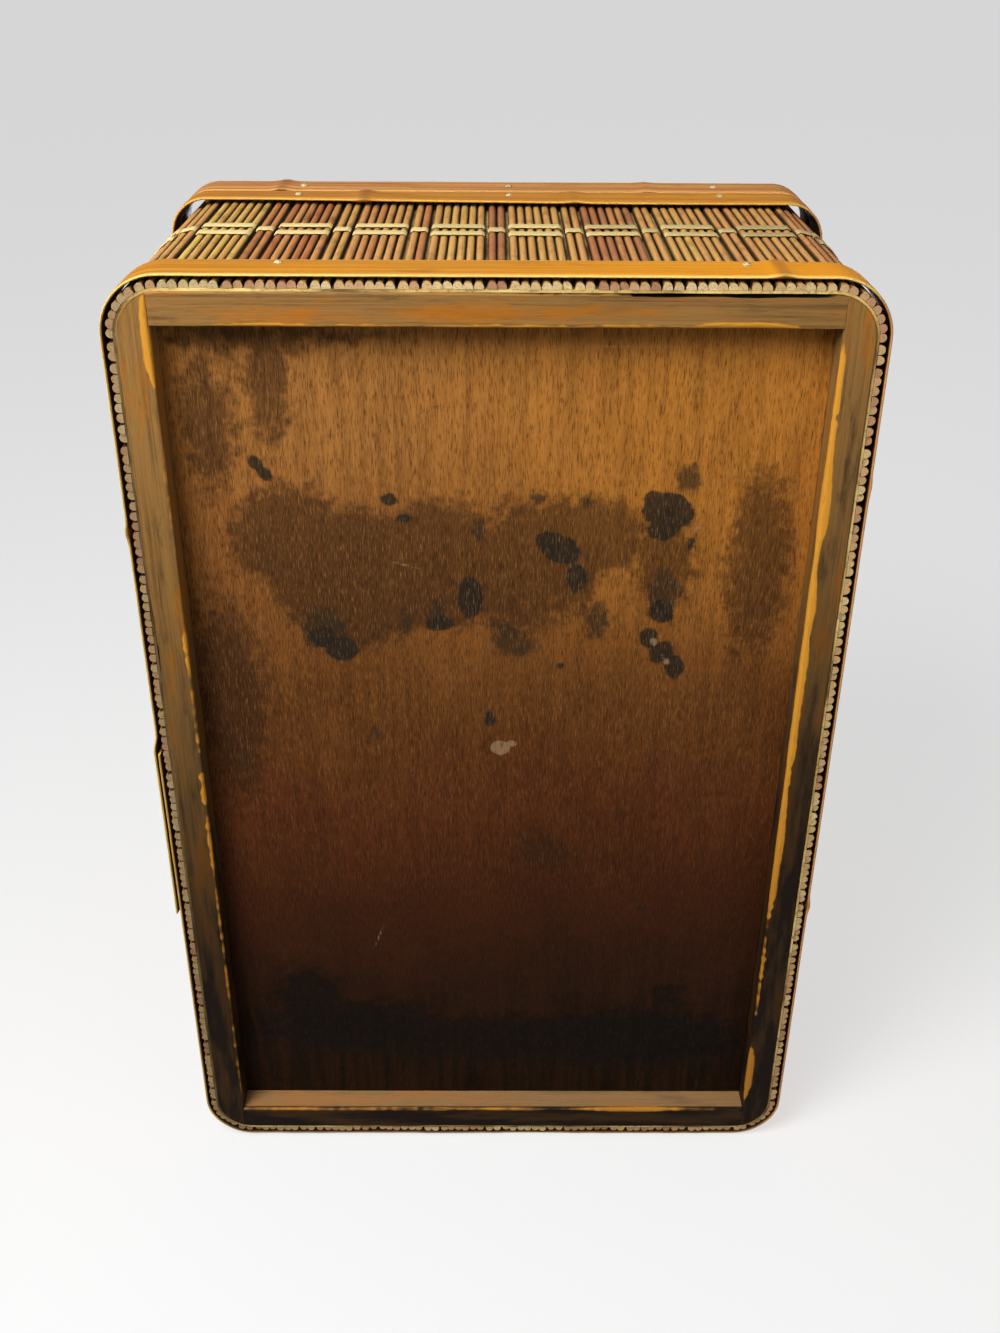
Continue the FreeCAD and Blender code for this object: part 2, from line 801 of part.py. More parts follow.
def slat(number, count, start, end, pitch):
    """One slat: its piece of cloth, its split reeds lying across the box, and their ties."""
    cloth_top = value(CLOTH_TOP)
    seam = size("lid_group_gap") / 4
    cloth = Part.makeBox(
        2 * lid_half,
        end - start - 2 * seam,
        size("cloth_thickness"),
        V(-lid_half, start + seam, value(CLOTH_BOTTOM)),
    )
    solids = [cloth]
    width = pitch - size("lid_reed_gap")
    half = width / 2
    height = size("lid_reed_height")
    first = start + size("lid_group_gap") / 2 + pitch / 2
    for reed in range(count):
        y = first + reed * pitch
        crown = V(-lid_half, y, cloth_top + height)
        shoulders = [V(-lid_half, y + sign * half, cloth_top) for sign in (-1, 1)]
        profile = [
            Part.Arc(shoulders[0], crown, shoulders[1]).toShape(),
            Part.LineSegment(shoulders[1], shoulders[0]).toShape(),
        ]
        solids.append(Part.Face(Part.Wire(profile)).extrude(V(2 * lid_half, 0, 0)))
    tie_bottom = cloth_top + height + size("glue_gap")
    spread = size("tie_spacing") / 2 if count == int(size("wide_group_count")) else 0.0
    for station in (-1, 0, 1):
        centre = station * (lid_half - size("lid_tie_inset"))
        for shift in {-spread, spread}:
            solids.append(
                Part.makeBox(
                    size("tie_width"),
                    (count - 1) * pitch + width * 0.4,
                    size("tie_thickness"),
                    V(centre + shift - size("tie_width") / 2, first - width * 0.2, tie_bottom),
                )
            )
    gathered(f"lid_slat_{number:02d}", solids)


for number, span in enumerate(slat_spans(), start=1):
    slat(number, *span)

# The pull: a small turned knob, screwed from below through the lead rail
doc.recompute()
knob_foot = value(RAIL_TOP)
knob = doc.addObject("PartDesign::Body", "PullKnob")
profile = knob.newObject("Sketcher::SketchObject", "KnobProfile")
plane = [f for f in knob.Origin.OriginFeatures if f.Role == "XZ_Plane"][0]
profile.AttachmentSupport = [(plane, "")]
profile.MapMode = "FlatFace"
radius, neck, tall = size("knob_radius"), size("knob_neck_radius"), size("knob_height")
bore = size("knob_screw_radius") + size("glue_gap")
bore_top = tall * 0.6
outline = [
    V(bore, 0, 0),
    V(radius * 0.8, 0, 0),
    V(neck, tall * 0.35, 0),
    V(radius, tall * 0.7, 0),
    V(radius * 0.6, tall, 0),
    V(0, tall, 0),
    V(0, bore_top, 0),
    V(bore, bore_top, 0),
]
links = list(zip(outline, outline[1:] + outline[:1]))
for begin, finish in links:
    profile.addGeometry(Part.LineSegment(begin, finish), False)
for k in range(len(links)):
    after = (k + 1) % len(links)
    profile.addConstraint(Sketcher.Constraint("Coincident", k, 2, after, 1))
knob_dimensions = [
    (0, "knob_screw_radius + glue_gap", "0"),
    (1, "knob_radius * 0.8", "0"),
    (2, "knob_neck_radius", "knob_height * 0.35"),
    (3, "knob_radius", "knob_height * 0.7"),
    (4, "knob_radius * 0.6", "knob_height"),
    (5, "0", "knob_height"),
    (6, "0", "knob_height * 0.6"),
    (7, "knob_screw_radius + glue_gap", "knob_height * 0.6"),
]
for line, across, up in knob_dimensions:
    place = outline[line]
    for kind, now, expression in (("DistanceX", place.x, across), ("DistanceY", place.y, up)):
        index = profile.addConstraint(Sketcher.Constraint(kind, -1, 1, line, 1, now))
        profile.setExpression(f"Constraints[{index}]", ref(expression))
doc.recompute()
turned = knob.newObject("PartDesign::Revolution", "KnobTurned")
turned.Profile = profile
turned.ReferenceAxis = (profile, ["V_Axis"])
turned.Angle = 360
knob.setExpression("Placement.Base.y", ref(knob_y))
knob.setExpression("Placement.Base.z", ref(RAIL_TOP))
knob.Label = "pull_knob"

screw_head = rod(
    "KnobScrewHead",
    "knob_screw_head_radius",
    "knob_screw_head_depth",
    ("0", knob_y, CLOTH_TOP),
    UP,
)
screw_shank = rod(
    "KnobScrewShank",
    "knob_screw_radius",
    "knob_screw_length",
    ("0", knob_y, CLOTH_TOP),
    UP,
)
knob_screw = doc.addObject("Part::Fuse", "KnobScrew")
knob_screw.Base = screw_head
knob_screw.Tool = screw_shank
knob_screw.Label = "knob_screw"

doc.recompute()

# Each node of the box, in the order in which it is put together
NODES = [
    "side_board_left",
    "side_board_right",
    "end_board_front",
    "end_board_back",
    "bottom_panel",
    "board_nails",
    "wall_liner",
    *[f"reeds_{wall}" for wall in reeds],
    *[f"cane_ties_{wall}" for wall in ties],
    "bottom_band",
    "rim_band_lower",
    "rim_band_upper",
    "bottom_tacks",
    "rim_tacks_lower",
    "rim_tacks_upper",
    "lid_back_rail",
    "lid_cloth_back_hem",
    "lid_rail_nails",
    *[f"lid_slat_{number:02d}" for number, _ in enumerate(slat_spans(), start=1)],
    "lid_lead_rail",
    "lid_cloth_lead_hem",
    "pull_knob",
    "knob_screw",
]

for obj in doc.Objects:
    if "Invalid" in obj.State or "Error" in obj.State:
        raise RuntimeError(f"{obj.Label} failed: {obj.State}")
for label in NODES:
    shape = doc.getObjectsByLabel(label)[0].Shape
    if shape.isNull() or not shape.isValid() or not shape.Solids:
        raise RuntimeError(f"{label} has no valid solid")
    shape.exportStep(os.path.join("parts", label + ".step"))

# The mat bends at every second slat, after each pair of a wide and a narrow group
spans = list(slat_spans())
hinges = [start for _, start, _, _ in spans[::2]] + [spans[-1][2]]
print("wall reeds", sum(len(solids) for solids in reeds.values()))
print("hinge lines at Y", [round(y, 3) for y in hinges])
print("hinge lines at Z", round(value(CLOTH_TOP), 3))
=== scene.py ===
"""Tambour lid box, dressed: worn boards round a stained panel, a skin of split reeds with cane
ties, lapped bamboo bands, and a lid that is a mat of reeds on cloth.

Metres, in the part's own frame: X is the width, Y the length, Z is up, and the underside
lies on Z = 0.
"""

import json
import math

import bpy
import numpy as np
from bpy.props import FloatProperty, FloatVectorProperty, IntProperty, PointerProperty
from mathutils import Matrix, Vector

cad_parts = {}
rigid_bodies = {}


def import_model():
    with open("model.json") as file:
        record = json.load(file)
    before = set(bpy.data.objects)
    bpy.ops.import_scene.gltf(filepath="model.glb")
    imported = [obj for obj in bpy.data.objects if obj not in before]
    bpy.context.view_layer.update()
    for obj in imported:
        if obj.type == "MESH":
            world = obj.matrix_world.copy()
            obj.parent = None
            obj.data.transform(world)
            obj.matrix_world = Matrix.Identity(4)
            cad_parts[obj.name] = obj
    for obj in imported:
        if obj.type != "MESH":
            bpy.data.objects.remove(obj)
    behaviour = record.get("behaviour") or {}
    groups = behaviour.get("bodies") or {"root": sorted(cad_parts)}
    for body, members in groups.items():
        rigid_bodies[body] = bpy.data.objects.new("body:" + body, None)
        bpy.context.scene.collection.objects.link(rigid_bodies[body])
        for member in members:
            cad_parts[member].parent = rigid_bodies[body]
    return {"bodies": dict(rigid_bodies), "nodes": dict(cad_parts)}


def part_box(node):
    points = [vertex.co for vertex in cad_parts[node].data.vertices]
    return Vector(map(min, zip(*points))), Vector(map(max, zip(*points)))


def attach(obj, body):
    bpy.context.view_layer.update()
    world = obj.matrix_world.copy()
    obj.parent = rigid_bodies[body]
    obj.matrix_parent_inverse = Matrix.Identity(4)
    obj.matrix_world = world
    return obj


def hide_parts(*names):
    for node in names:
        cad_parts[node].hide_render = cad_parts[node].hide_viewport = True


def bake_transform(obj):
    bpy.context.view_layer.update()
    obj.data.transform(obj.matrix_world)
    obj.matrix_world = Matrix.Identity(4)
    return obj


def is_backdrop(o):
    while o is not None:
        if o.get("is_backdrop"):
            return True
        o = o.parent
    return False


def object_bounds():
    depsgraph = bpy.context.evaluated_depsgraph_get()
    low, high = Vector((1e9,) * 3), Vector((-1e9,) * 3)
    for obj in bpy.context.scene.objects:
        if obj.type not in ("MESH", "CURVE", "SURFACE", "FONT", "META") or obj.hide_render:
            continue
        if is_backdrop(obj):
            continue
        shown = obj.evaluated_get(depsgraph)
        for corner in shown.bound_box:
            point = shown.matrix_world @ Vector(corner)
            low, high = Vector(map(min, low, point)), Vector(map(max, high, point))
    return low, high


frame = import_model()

bl_info = {
    "name": "Tambour Lid Box",
    "version": (1, 0, 0),
    "blender": (4, 5, 0),
    "location": "3D View > Sidebar > Tambour Box",
    "description": "Builds a reed-clad box with a rolling reed lid, piece by piece",
    "category": "Object",
}

MM = 0.001
WALLS = ("left", "right", "front", "back")

# Gaps and offsets that stay the same when a size changes
GLUE_GAP = 0.05 * MM
REED_GAP = 0.1 * MM
LID_SIDE_GAP = 0.5 * MM
LID_REST_GAP = 0.1 * MM
LID_REED_GAP = 0.15 * MM
LID_TIE_INSET = 26 * MM
BAND_SLACK = 0.08 * MM
BAND_LIFT = 0.6 * MM
BOTTOM_LAP_START = 11.6 * MM
BOTTOM_LAP = 76 * MM
RIM_LAP_START = -30 * MM
RIM_LAP = 60 * MM
RIM_STRIP_GAP = 0.4 * MM
RIM_STAND_OFF = 0.3 * MM
RIM_CORNER_GAP = 2.4 * MM

# How far round the outer reeds, in degrees, a tie's ends go down
WALL_TIE_TURN = 50.0
LID_TIE_TURN = 28.0

# Edges bent more than this, in degrees, stay sharp
SHARP_ANGLE = 50.0

# How many sections or corners each shape has
LONG_BOARD_SECTIONS = 420
SHORT_BOARD_SECTIONS = 250
PANEL_COLUMNS = 200
PANEL_ROWS = 310
PANEL_TOP_ROWS = 7
LINER_SECTIONS = 420
BAND_SECTIONS = 620
RAIL_SECTIONS = 61
CLOTH_COLUMNS = 12
KNOB_CORNERS = 48


def hex_colour(text):
    """A hex sRGB colour as linear red, green, blue and an alpha of one."""
    shares = [int(text[i : i + 2], 16) / 255 for i in (1, 3, 5)]
    linear = [s / 12.92 if s <= 0.04045 else ((s + 0.055) / 1.055) ** 2.4 for s in shares]
    return (*linear, 1.0)


def length_property(name, millimetres, description):
    """A length that a user can change, given in millimetres."""
    return FloatProperty(
        name=name, description=description, default=millimetres * MM, unit="LENGTH", precision=5
    )


def colour_property(name, text, description):
    """A colour that a user can change, given as hex sRGB."""
    return FloatVectorProperty(
        name=name,
        description=description,
        default=hex_colour(text),
        size=4,
        min=0.0,
        max=1.0,
        subtype="COLOR",
    )


class BoxSizes(bpy.types.PropertyGroup):
    """The sizes that the box's skin, bands and lid are built from."""

    half_opening_width: length_property("Half opening width", 110.0, "Middle to a side board")
    half_opening_length: length_property("Half opening length", 173.8, "Middle to an end board")
    board: length_property("Board thickness", 11.0, "Thickness of the four boards")
    corner: length_property("Corner radius", 14.7, "Radius of the boards' outer corners")
    board_top: length_property("Board height", 149.0, "Height of the four boards")
    box_top: length_property("Box height", 155.0, "Height of the reeds and the upper band")
    recess: length_property("Panel recess", 10.6, "Underside to the bottom panel")
    panel: length_property("Panel thickness", 4.0, "Thickness of the bottom panel")
    liner: length_property("Liner thickness", 0.8, "Thickness of the sheet under the reeds")
    reed_width: length_property("Reed width", 3.05, "Width of a wall reed")
    reed_depth: length_property("Reed depth", 2.9, "Depth of a wall reed")
    reed_pitch: length_property("Reed pitch", 3.45, "Distance between reeds in a group")
    group_gap: length_property("Group gap", 0.9, "Extra space between two groups of reeds")
    tie_width: length_property("Tie width", 6.5, "Width of a cane tie")
    tie_thickness: length_property("Tie thickness", 0.5, "Thickness of a cane tie")
    tie_level: length_property("Tie level", 74.3, "Height of the middle of the ties")
    tie_spacing: length_property("Tie spacing", 11.5, "Between the two ties of a wide group")
    band: length_property("Band thickness", 1.6, "Thickness of the bamboo bands")
    bottom_band: length_property("Bottom band width", 21.4, "Width of the bottom band")
    rim_band: length_property("Rim band width", 20.2, "Width of each rim band")
    cloth: length_property("Cloth thickness", 0.5, "Thickness of the lid's backing cloth")
    lid_gap: length_property("Lid group gap", 0.85, "Space between the lid's groups of reeds")
    lid_reed_height: length_property("Lid reed height", 1.7, "Height of the lid's split reeds")
    rail: length_property("Rail width", 16.0, "Width of the lid's two rails")
    rail_height: length_property("Rail thickness", 4.2, "Thickness of the lid's two rails")
    knob_radius: length_property("Knob radius", 5.5, "Radius of the pull knob")
    knob_height: length_property("Knob height", 8.0, "Height of the pull knob")
    wide_group: IntProperty(name="Wide group", description="Reeds in a wide group", default=6)
    narrow_group: IntProperty(
        name="Narrow group", description="Reeds in a narrow group", default=2
    )
    lid_units: IntProperty(
        name="Lid units", description="Pairs of a wide and a narrow group", default=11
    )


class BoxFinishes(bpy.types.PropertyGroup):
    """The main colours of the box's materials."""

    board: colour_property("Board", "#956C38", "Dull waxed board")
    # the worn colour is also the painted highlight along the boards' inner arrises
    board_worn: colour_property("Worn board", "#E09A30", "Board where its wax is rubbed off")
    reed_dull: colour_property("Dull reed", "#A27A56", "The darkest of the smoked reeds")
    reed_red: colour_property("Red reed", "#C07440", "Reeds smoked to a red brown")
    reed_tan: colour_property("Tan reed", "#DA9C58", "The plain tan reeds")
    reed_straw: colour_property("Straw reed", "#EAC262", "The palest reeds")
    cane: colour_property("Cane", "#F2DC94", "Unvarnished cane ties")
    band_amber: colour_property("Amber band", "#E09416", "Varnished bamboo of the bottom band")
    band_red: colour_property("Red band", "#E8A25A", "Varnished bamboo of the upper rim band")
    cloth: colour_property("Cloth", "#5A4632", "The lid's backing cloth")
    rail: colour_property("Rail", "#7E4A1E", "Stained wood of the rails and the knob")
    brass: colour_property("Brass", "#EAD2A6", "Dulled brass of tacks and screws")


# Shapes, worked out as whole arrays


def eased_noise(places, period, seed):
    """Smooth heights from -1 to 1 along a line.

    Random heights stand a period apart, and an S curve eases from each to the next.
    """
    heights = np.random.default_rng(seed).uniform(-1.0, 1.0, 1024)
    steps = np.asarray(places, float) / period
    whole = np.floor(steps).astype(int)
    share = steps - whole
    share = share * share * (3.0 - 2.0 * share)
    return heights[whole % 1024] * (1.0 - share) + heights[(whole + 1) % 1024] * share


def stepped(values, low, high):
    """An S curve from 0 where the values are at low to 1 where they are at high."""
    share = np.clip((values - low) / (high - low), 0.0, 1.0)
    return share * share * (3.0 - 2.0 * share)


class Outline:
    """A rounded rectangle walked from the middle of the +Y end towards -X.

    It has nine runs, straight and bent in turn. On a bent run the outward direction turns
    with the distance over the radius.
    """

    def __init__(self, half_width, half_length, radius):
        a, b, r = half_width, half_length, radius
        quarter = r * math.pi / 2
        self.radius = r
        self.begins = np.array(
            [
                (0.0, b),
                (r - a, b - r),
                (-a, b - r),
                (r - a, r - b),
                (r - a, -b),
                (a - r, r - b),
                (a, r - b),
                (a - r, b - r),
                (a - r, b),
            ]
        )
        self.outwards = np.radians([90.0, 90.0, 180.0, 180.0, 270.0, 270.0, 0.0, 0.0, 90.0])
        side, end = 2 * (b - r), 2 * (a - r)
        self.runs = np.array(
            [end / 2, quarter, side, quarter, end, quarter, side, quarter, end / 2]
        )
        self.ends = np.cumsum(self.runs)
        self.length = self.ends[-1]

    def at(self, distance, offset):
        """The X and Y of places at a distance along the line, moved outwards by an offset."""
        distance, offset = np.broadcast_arrays(
            np.asarray(distance, float), np.asarray(offset, float)
        )
        distance = np.mod(distance, self.length)
        run = np.minimum(np.searchsorted(self.ends, distance, side="right"), 8)
        along = distance - (self.ends[run] - self.runs[run])
        bent = run % 2 == 1
        angle = self.outwards[run] + np.where(bent, along / self.radius, 0.0)
        out = np.stack([np.cos(angle), np.sin(angle)], axis=-1)
        ahead = np.stack([-np.sin(angle), np.cos(angle)], axis=-1)
        reach = np.where(bent, self.radius, 0.0)[..., None] + offset[..., None]
        walked = np.where(bent, 0.0, along)[..., None]
        return self.begins[run] + out * reach + ahead * walked

    def beside(self, y, side):
        """The distance along the line of a place on a long side: +1 for +X and -1 for -X."""
        run = 6 if side > 0 else 2
        return self.ends[run] - self.runs[run] + abs(y - self.begins[run][1])


def lofted(rings, looped):
    """The faces of solids given by their cross sections, rings[solid, station, corner].

    Four-sided faces join each section to the next, and one face closes each end unless the
    sections run in a loop. All are turned round if the first solid's volume, the sum of
    a . (b x c) / 6 over its triangles, comes out negative.
    """
    solids, stations, corners = rings.shape[:3]
    station = np.arange(stations if looped else stations - 1)[:, None]
    corner = np.arange(corners)[None]
    beside, beyond = (corner + 1) % corners, (station + 1) % stations
    quads = np.stack(
        [
            station * corners + corner,
            station * corners + beside,
            beyond * corners + beside,
            beyond * corners + corner,
        ],
        axis=-1,
    ).reshape(-1, 4)
    last = (stations - 1) * corners
    lids = np.stack([corner[0][::-1], corner[0] + last])[: 0 if looped else 2]
    points = rings[0].reshape(-1, 3)
    points = points - points.mean(axis=0)
    fans = [quads[:, [0, 1, 2]], quads[:, [0, 2, 3]]]
    for face in lids:
        fans.append(np.stack([np.full(corners - 2, face[0]), face[1:-1], face[2:]], axis=-1))
    a, b, c = points[np.concatenate(fans)].transpose(1, 0, 2)
    if np.einsum("ij,ij->i", a, np.cross(b, c)).sum() < 0:
        quads, lids = quads[:, ::-1], lids[:, ::-1]
    shift = np.arange(solids)[:, None, None] * stations * corners
    return (quads + shift).reshape(-1, 4), (lids + shift).reshape(-1, corners)


def add_piece(name, rings, materials, looped=False, uv=None, **attributes):
    """A mesh object from cross sections, with per-point attributes and a UV map.

    The first material covers the sides, and the second, if there is one, the end faces.
    """
    quads, lids = lofted(rings, looped)
    mesh = bpy.data.meshes.new(name)
    mesh.from_pydata(rings.reshape(-1, 3).tolist(), [], quads.tolist() + lids.tolist())
    for key, values in attributes.items():
        kind = "FLOAT_VECTOR" if np.ndim(values) == 4 else "FLOAT"
        layer = mesh.attributes.new(key, kind, "POINT")
        if kind == "FLOAT":
            layer.data.foreach_set("value", np.broadcast_to(values, rings.shape[:3]).ravel())
        else:
            layer.data.foreach_set("vector", np.asarray(values).ravel())
    if uv is not None:
        corner_points = np.zeros(len(mesh.loops), int)
        mesh.loops.foreach_get("vertex_index", corner_points)
        layer = mesh.uv_layers.new(name="UVMap")
        layer.data.foreach_set("uv", uv.reshape(-1, 2)[corner_points].ravel())
    for material in materials:
        mesh.materials.append(material)
    if len(materials) > 1:
        places = np.concatenate([np.zeros(len(quads), int), np.ones(len(lids), int)])
        mesh.polygons.foreach_set("material_index", places)
    mesh.shade_smooth()
    mesh.set_sharp_from_angle(angle=math.radians(SHARP_ANGLE))
    mesh.update()
    piece = bpy.data.objects.new(name, mesh)
    bpy.context.scene.collection.objects.link(piece)
    return piece


def settle(piece, body, slot, *nodes):
    """Makes a piece ride on a body and stand for CAD nodes, which it hides. The slot is not used."""
    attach(piece, body)
    if nodes:
        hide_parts(*nodes)


def raised(flat, height):
    """Points in three dimensions from X and Y and a height."""
    height = np.broadcast_to(height, flat.shape[:-1])
    return np.concatenate([flat, height[..., None]], axis=-1)


# Materials


def add(tree, kind, links=None, stops=None, out=0, **settings):
    """Adds a shader node and returns one of its outputs.

    The settings are its properties, the links are its inputs' values or the outputs that feed
    them, and the stops are a colour ramp's places and colours, as hex text or as properties.
    """
    made = tree.nodes.new("ShaderNode" + kind)
    for key, setting in settings.items():
        setattr(made, key, setting)
    for key, source in (links or {}).items():
        if isinstance(source, bpy.types.NodeSocket):
            tree.links.new(source, made.inputs[key])
        else:
            made.inputs[key].default_value = source
    if stops:
        elements = made.color_ramp.elements
        while len(elements) < len(stops):
            elements.new(0.5)
        for element, (place, colour) in zip(elements, stops):
            element.position = place
            element.color = hex_colour(colour) if isinstance(colour, str) else tuple(colour)
    return made.outputs[out] if made.outputs else made


def grey(value):
    """A grey level as a colour."""
    return (value, value, value, 1.0)


# The outputs of an attribute that hold a vector and a number, and of an object's coordinates
VECTOR, NUMBER, OBJECT = 1, 2, 3
# Settings that many nodes share
EASED = {"interpolation_type": "SMOOTHSTEP"}
MIXED = {"out": 2, "data_type": "RGBA"}
TIMES = {"operation": "MULTIPLY"}
TIMES_PLUS = {"operation": "MULTIPLY_ADD"}


def new_material(name):
    """An empty material's node tree, and the material."""
    material = bpy.data.materials.new(name)
    material.use_nodes = True
    material.node_tree.nodes.clear()
    return material, material.node_tree


def close_material(tree, colour, roughness, height, depth, **constants):
    """The surface shader, with bumps of a given depth in metres and its constant sockets."""
    bump = add(tree, "Bump", {"Strength": 1.0, "Distance": depth, "Height": height})
    links = {"Base Color": colour, "Roughness": roughness, "Normal": bump}
    links.update({key.replace("_", " "): number for key, number in constants.items()})
    shader = add(tree, "BsdfPrincipled", links)
    add(tree, "OutputMaterial", {"Surface": shader})


def streaks(tree, place, wide, long, detail, seed=None):
    """Noise drawn out along the first axis of a place: wide and long are its sizes in metres."""
    scale = (1.0 / long, 1.0 / wide, 1.0 / wide)
    squeezed = add(tree, "Mapping", {"Vector": place, "Scale": scale})
    links = {"Vector": squeezed, "Scale": 1.0, "Detail": detail, "Roughness": 0.6}
    if seed is None:
        return add(tree, "TexNoise", links)
    links["W"] = seed
    return add(tree, "TexNoise", links, noise_dimensions="4D")


def span(source, low, high, at_low=0.0, at_high=1.0):
    """The inputs that take a value from one range to another."""
    return {
        "Value": source,
        "From Min": low,
        "From Max": high,
        "To Min": at_low,
        "To Max": at_high,
    }


def tinted(tree, base, *tints):
    """A colour with tints laid over it in turn.

    Each tint is its hex colour, the value that places it, the two values that it eases
    between, and its share at each of them.
    """
    for colour, *reach in tints:
        share = add(tree, "MapRange", span(*reach), **EASED)
        base = add(tree, "Mix", {0: share, 6: base, 7: hex_colour(colour)}, **MIXED)
    return base


def object_place(tree):
    """A place on a piece in metres, and its X, Y and Z."""
    place = add(tree, "TexCoord", out=OBJECT)
    return place, *[add(tree, "SeparateXYZ", {0: place}, out=axis) for axis in range(3)]


def board_finish(finishes):
    """Softwood, planed, waxed dark and rubbed pale along its arrises, which also carry a painted
    highlight, with painted shade in its chips and painted light on the back board's inner face.
    """
    material, tree = new_material("waxed_softwood")
    grain = add(tree, "Attribute", attribute_name="grain", out=VECTOR)
    wear, clean, pit = [
        add(tree, "Attribute", attribute_name=name, out=NUMBER) for name in ("wear", "clean", "pit")
    ]
    # growth rings show as streaks 1.1 mm apart, and dirt lies in patches 9 mm across
    rings = streaks(tree, grain, 1.1 * MM, 60 * MM, 6.0)
    pores = streaks(tree, grain, 0.25 * MM, 7 * MM, 3.0)
    patches = streaks(tree, grain, 9 * MM, 45 * MM, 5.0)
    stops = [(0.28, "#6A4C24"), (0.5, finishes.board), (0.72, "#A07638")]
    base = tinted(
        tree,
        add(tree, "ValToRGB", {"Fac": rings}, stops),
        ("#B06A18", patches, 0.5, 0.66, 0.0, 0.85),
        ("#2C2218", patches, 0.3, 0.46, 0.75, 0.0),
    )
    # the boards grow darker towards the -Y end, in mottles
    _, across, length, height = object_place(tree)
    leaning = add(tree, "Math", {0: across, 1: 0.25, 2: length}, **TIMES_PLUS)
    low_end_darkening = add(tree, "MapRange", span(leaning, 186 * MM, -90 * MM, 0.0, 0.94), **EASED)
    mottled = add(tree, "MapRange", span(patches, 0.2, 0.6, 1.35, 0.95), **EASED)
    low_end_darkening = add(tree, "Math", {0: low_end_darkening, 1: mottled}, **TIMES)
    # painted light: the back board's inner face, which faces the lamps, is painted paler above its
    # bottom edge and spared the darkening towards -Y
    inside = add(tree, "MapRange", span(height, 0.8 * MM, 2.4 * MM), **EASED)
    inside = add(tree, "Math", {0: inside, 1: clean}, **TIMES)
    cleaner = add(tree, "MapRange", span(inside, 0.0, 1.0, 1.0, 0.1), **EASED)
    low_end_darkening = add(tree, "Math", {0: low_end_darkening, 1: cleaner}, **TIMES)
    base = add(tree, "Mix", {0: low_end_darkening, 6: base, 7: hex_colour("#1E1107")}, **MIXED)
    base = tinted(tree, base, ("#AC8860", inside, 0.0, 1.0, 0.0, 0.45))
    # the wax is rubbed through in a ragged line along the arris, and this pale line is also a painted
    # highlight
    worn = add(tree, "Math", {0: patches, 1: 1.6 * MM, 2: wear}, **TIMES_PLUS)
    worn = add(tree, "Math", {0: rings, 1: 1.0 * MM, 2: worn}, **TIMES_PLUS)
    pale_edge_and_highlight = add(tree, "MapRange", span(worn, 1.15 * MM, 1.75 * MM, 0.0, 0.95), **EASED)
    bare = tuple(finishes.board_worn)
    bare = tinted(tree, bare, ("#94581C", length, 60 * MM, -130 * MM, 0.0, 0.5))
    # the last tint is painted shade, near black, in the chips of the outer arris
    base = tinted(
        tree,
        add(tree, "Mix", {0: pale_edge_and_highlight, 6: base, 7: bare}, **MIXED),
        ("#2A1D10", pores, 0.55, 0.75, 0.0, 0.5),
        ("#070503", pit, 0.25, 0.55),
    )
    roughness = add(tree, "MapRange", span(patches, 0.3, 0.7, 0.62, 0.42), **EASED)
    relief = add(tree, "Math", {0: rings, 1: pores}, operation="ADD")
    close_material(tree, base, roughness, relief, 0.12 * MM, Specular_IOR_Level=0.22)
    return material


# The panel's stains: the field of marks that places each, its hex colour, how far in
# millimetres its ragged edge reaches, and how strong it is
STAINS = (
    ("cloud", "#382210", 7.0, 0.7),
    ("dark", "#120D09", 9.0, 0.85),
    ("haze", "#382A1A", 3.0, 0.8),
    ("blot", "#26221A", 1.1, 0.93),
    ("scuff", "#A98A66", 0.7, 0.6),
)


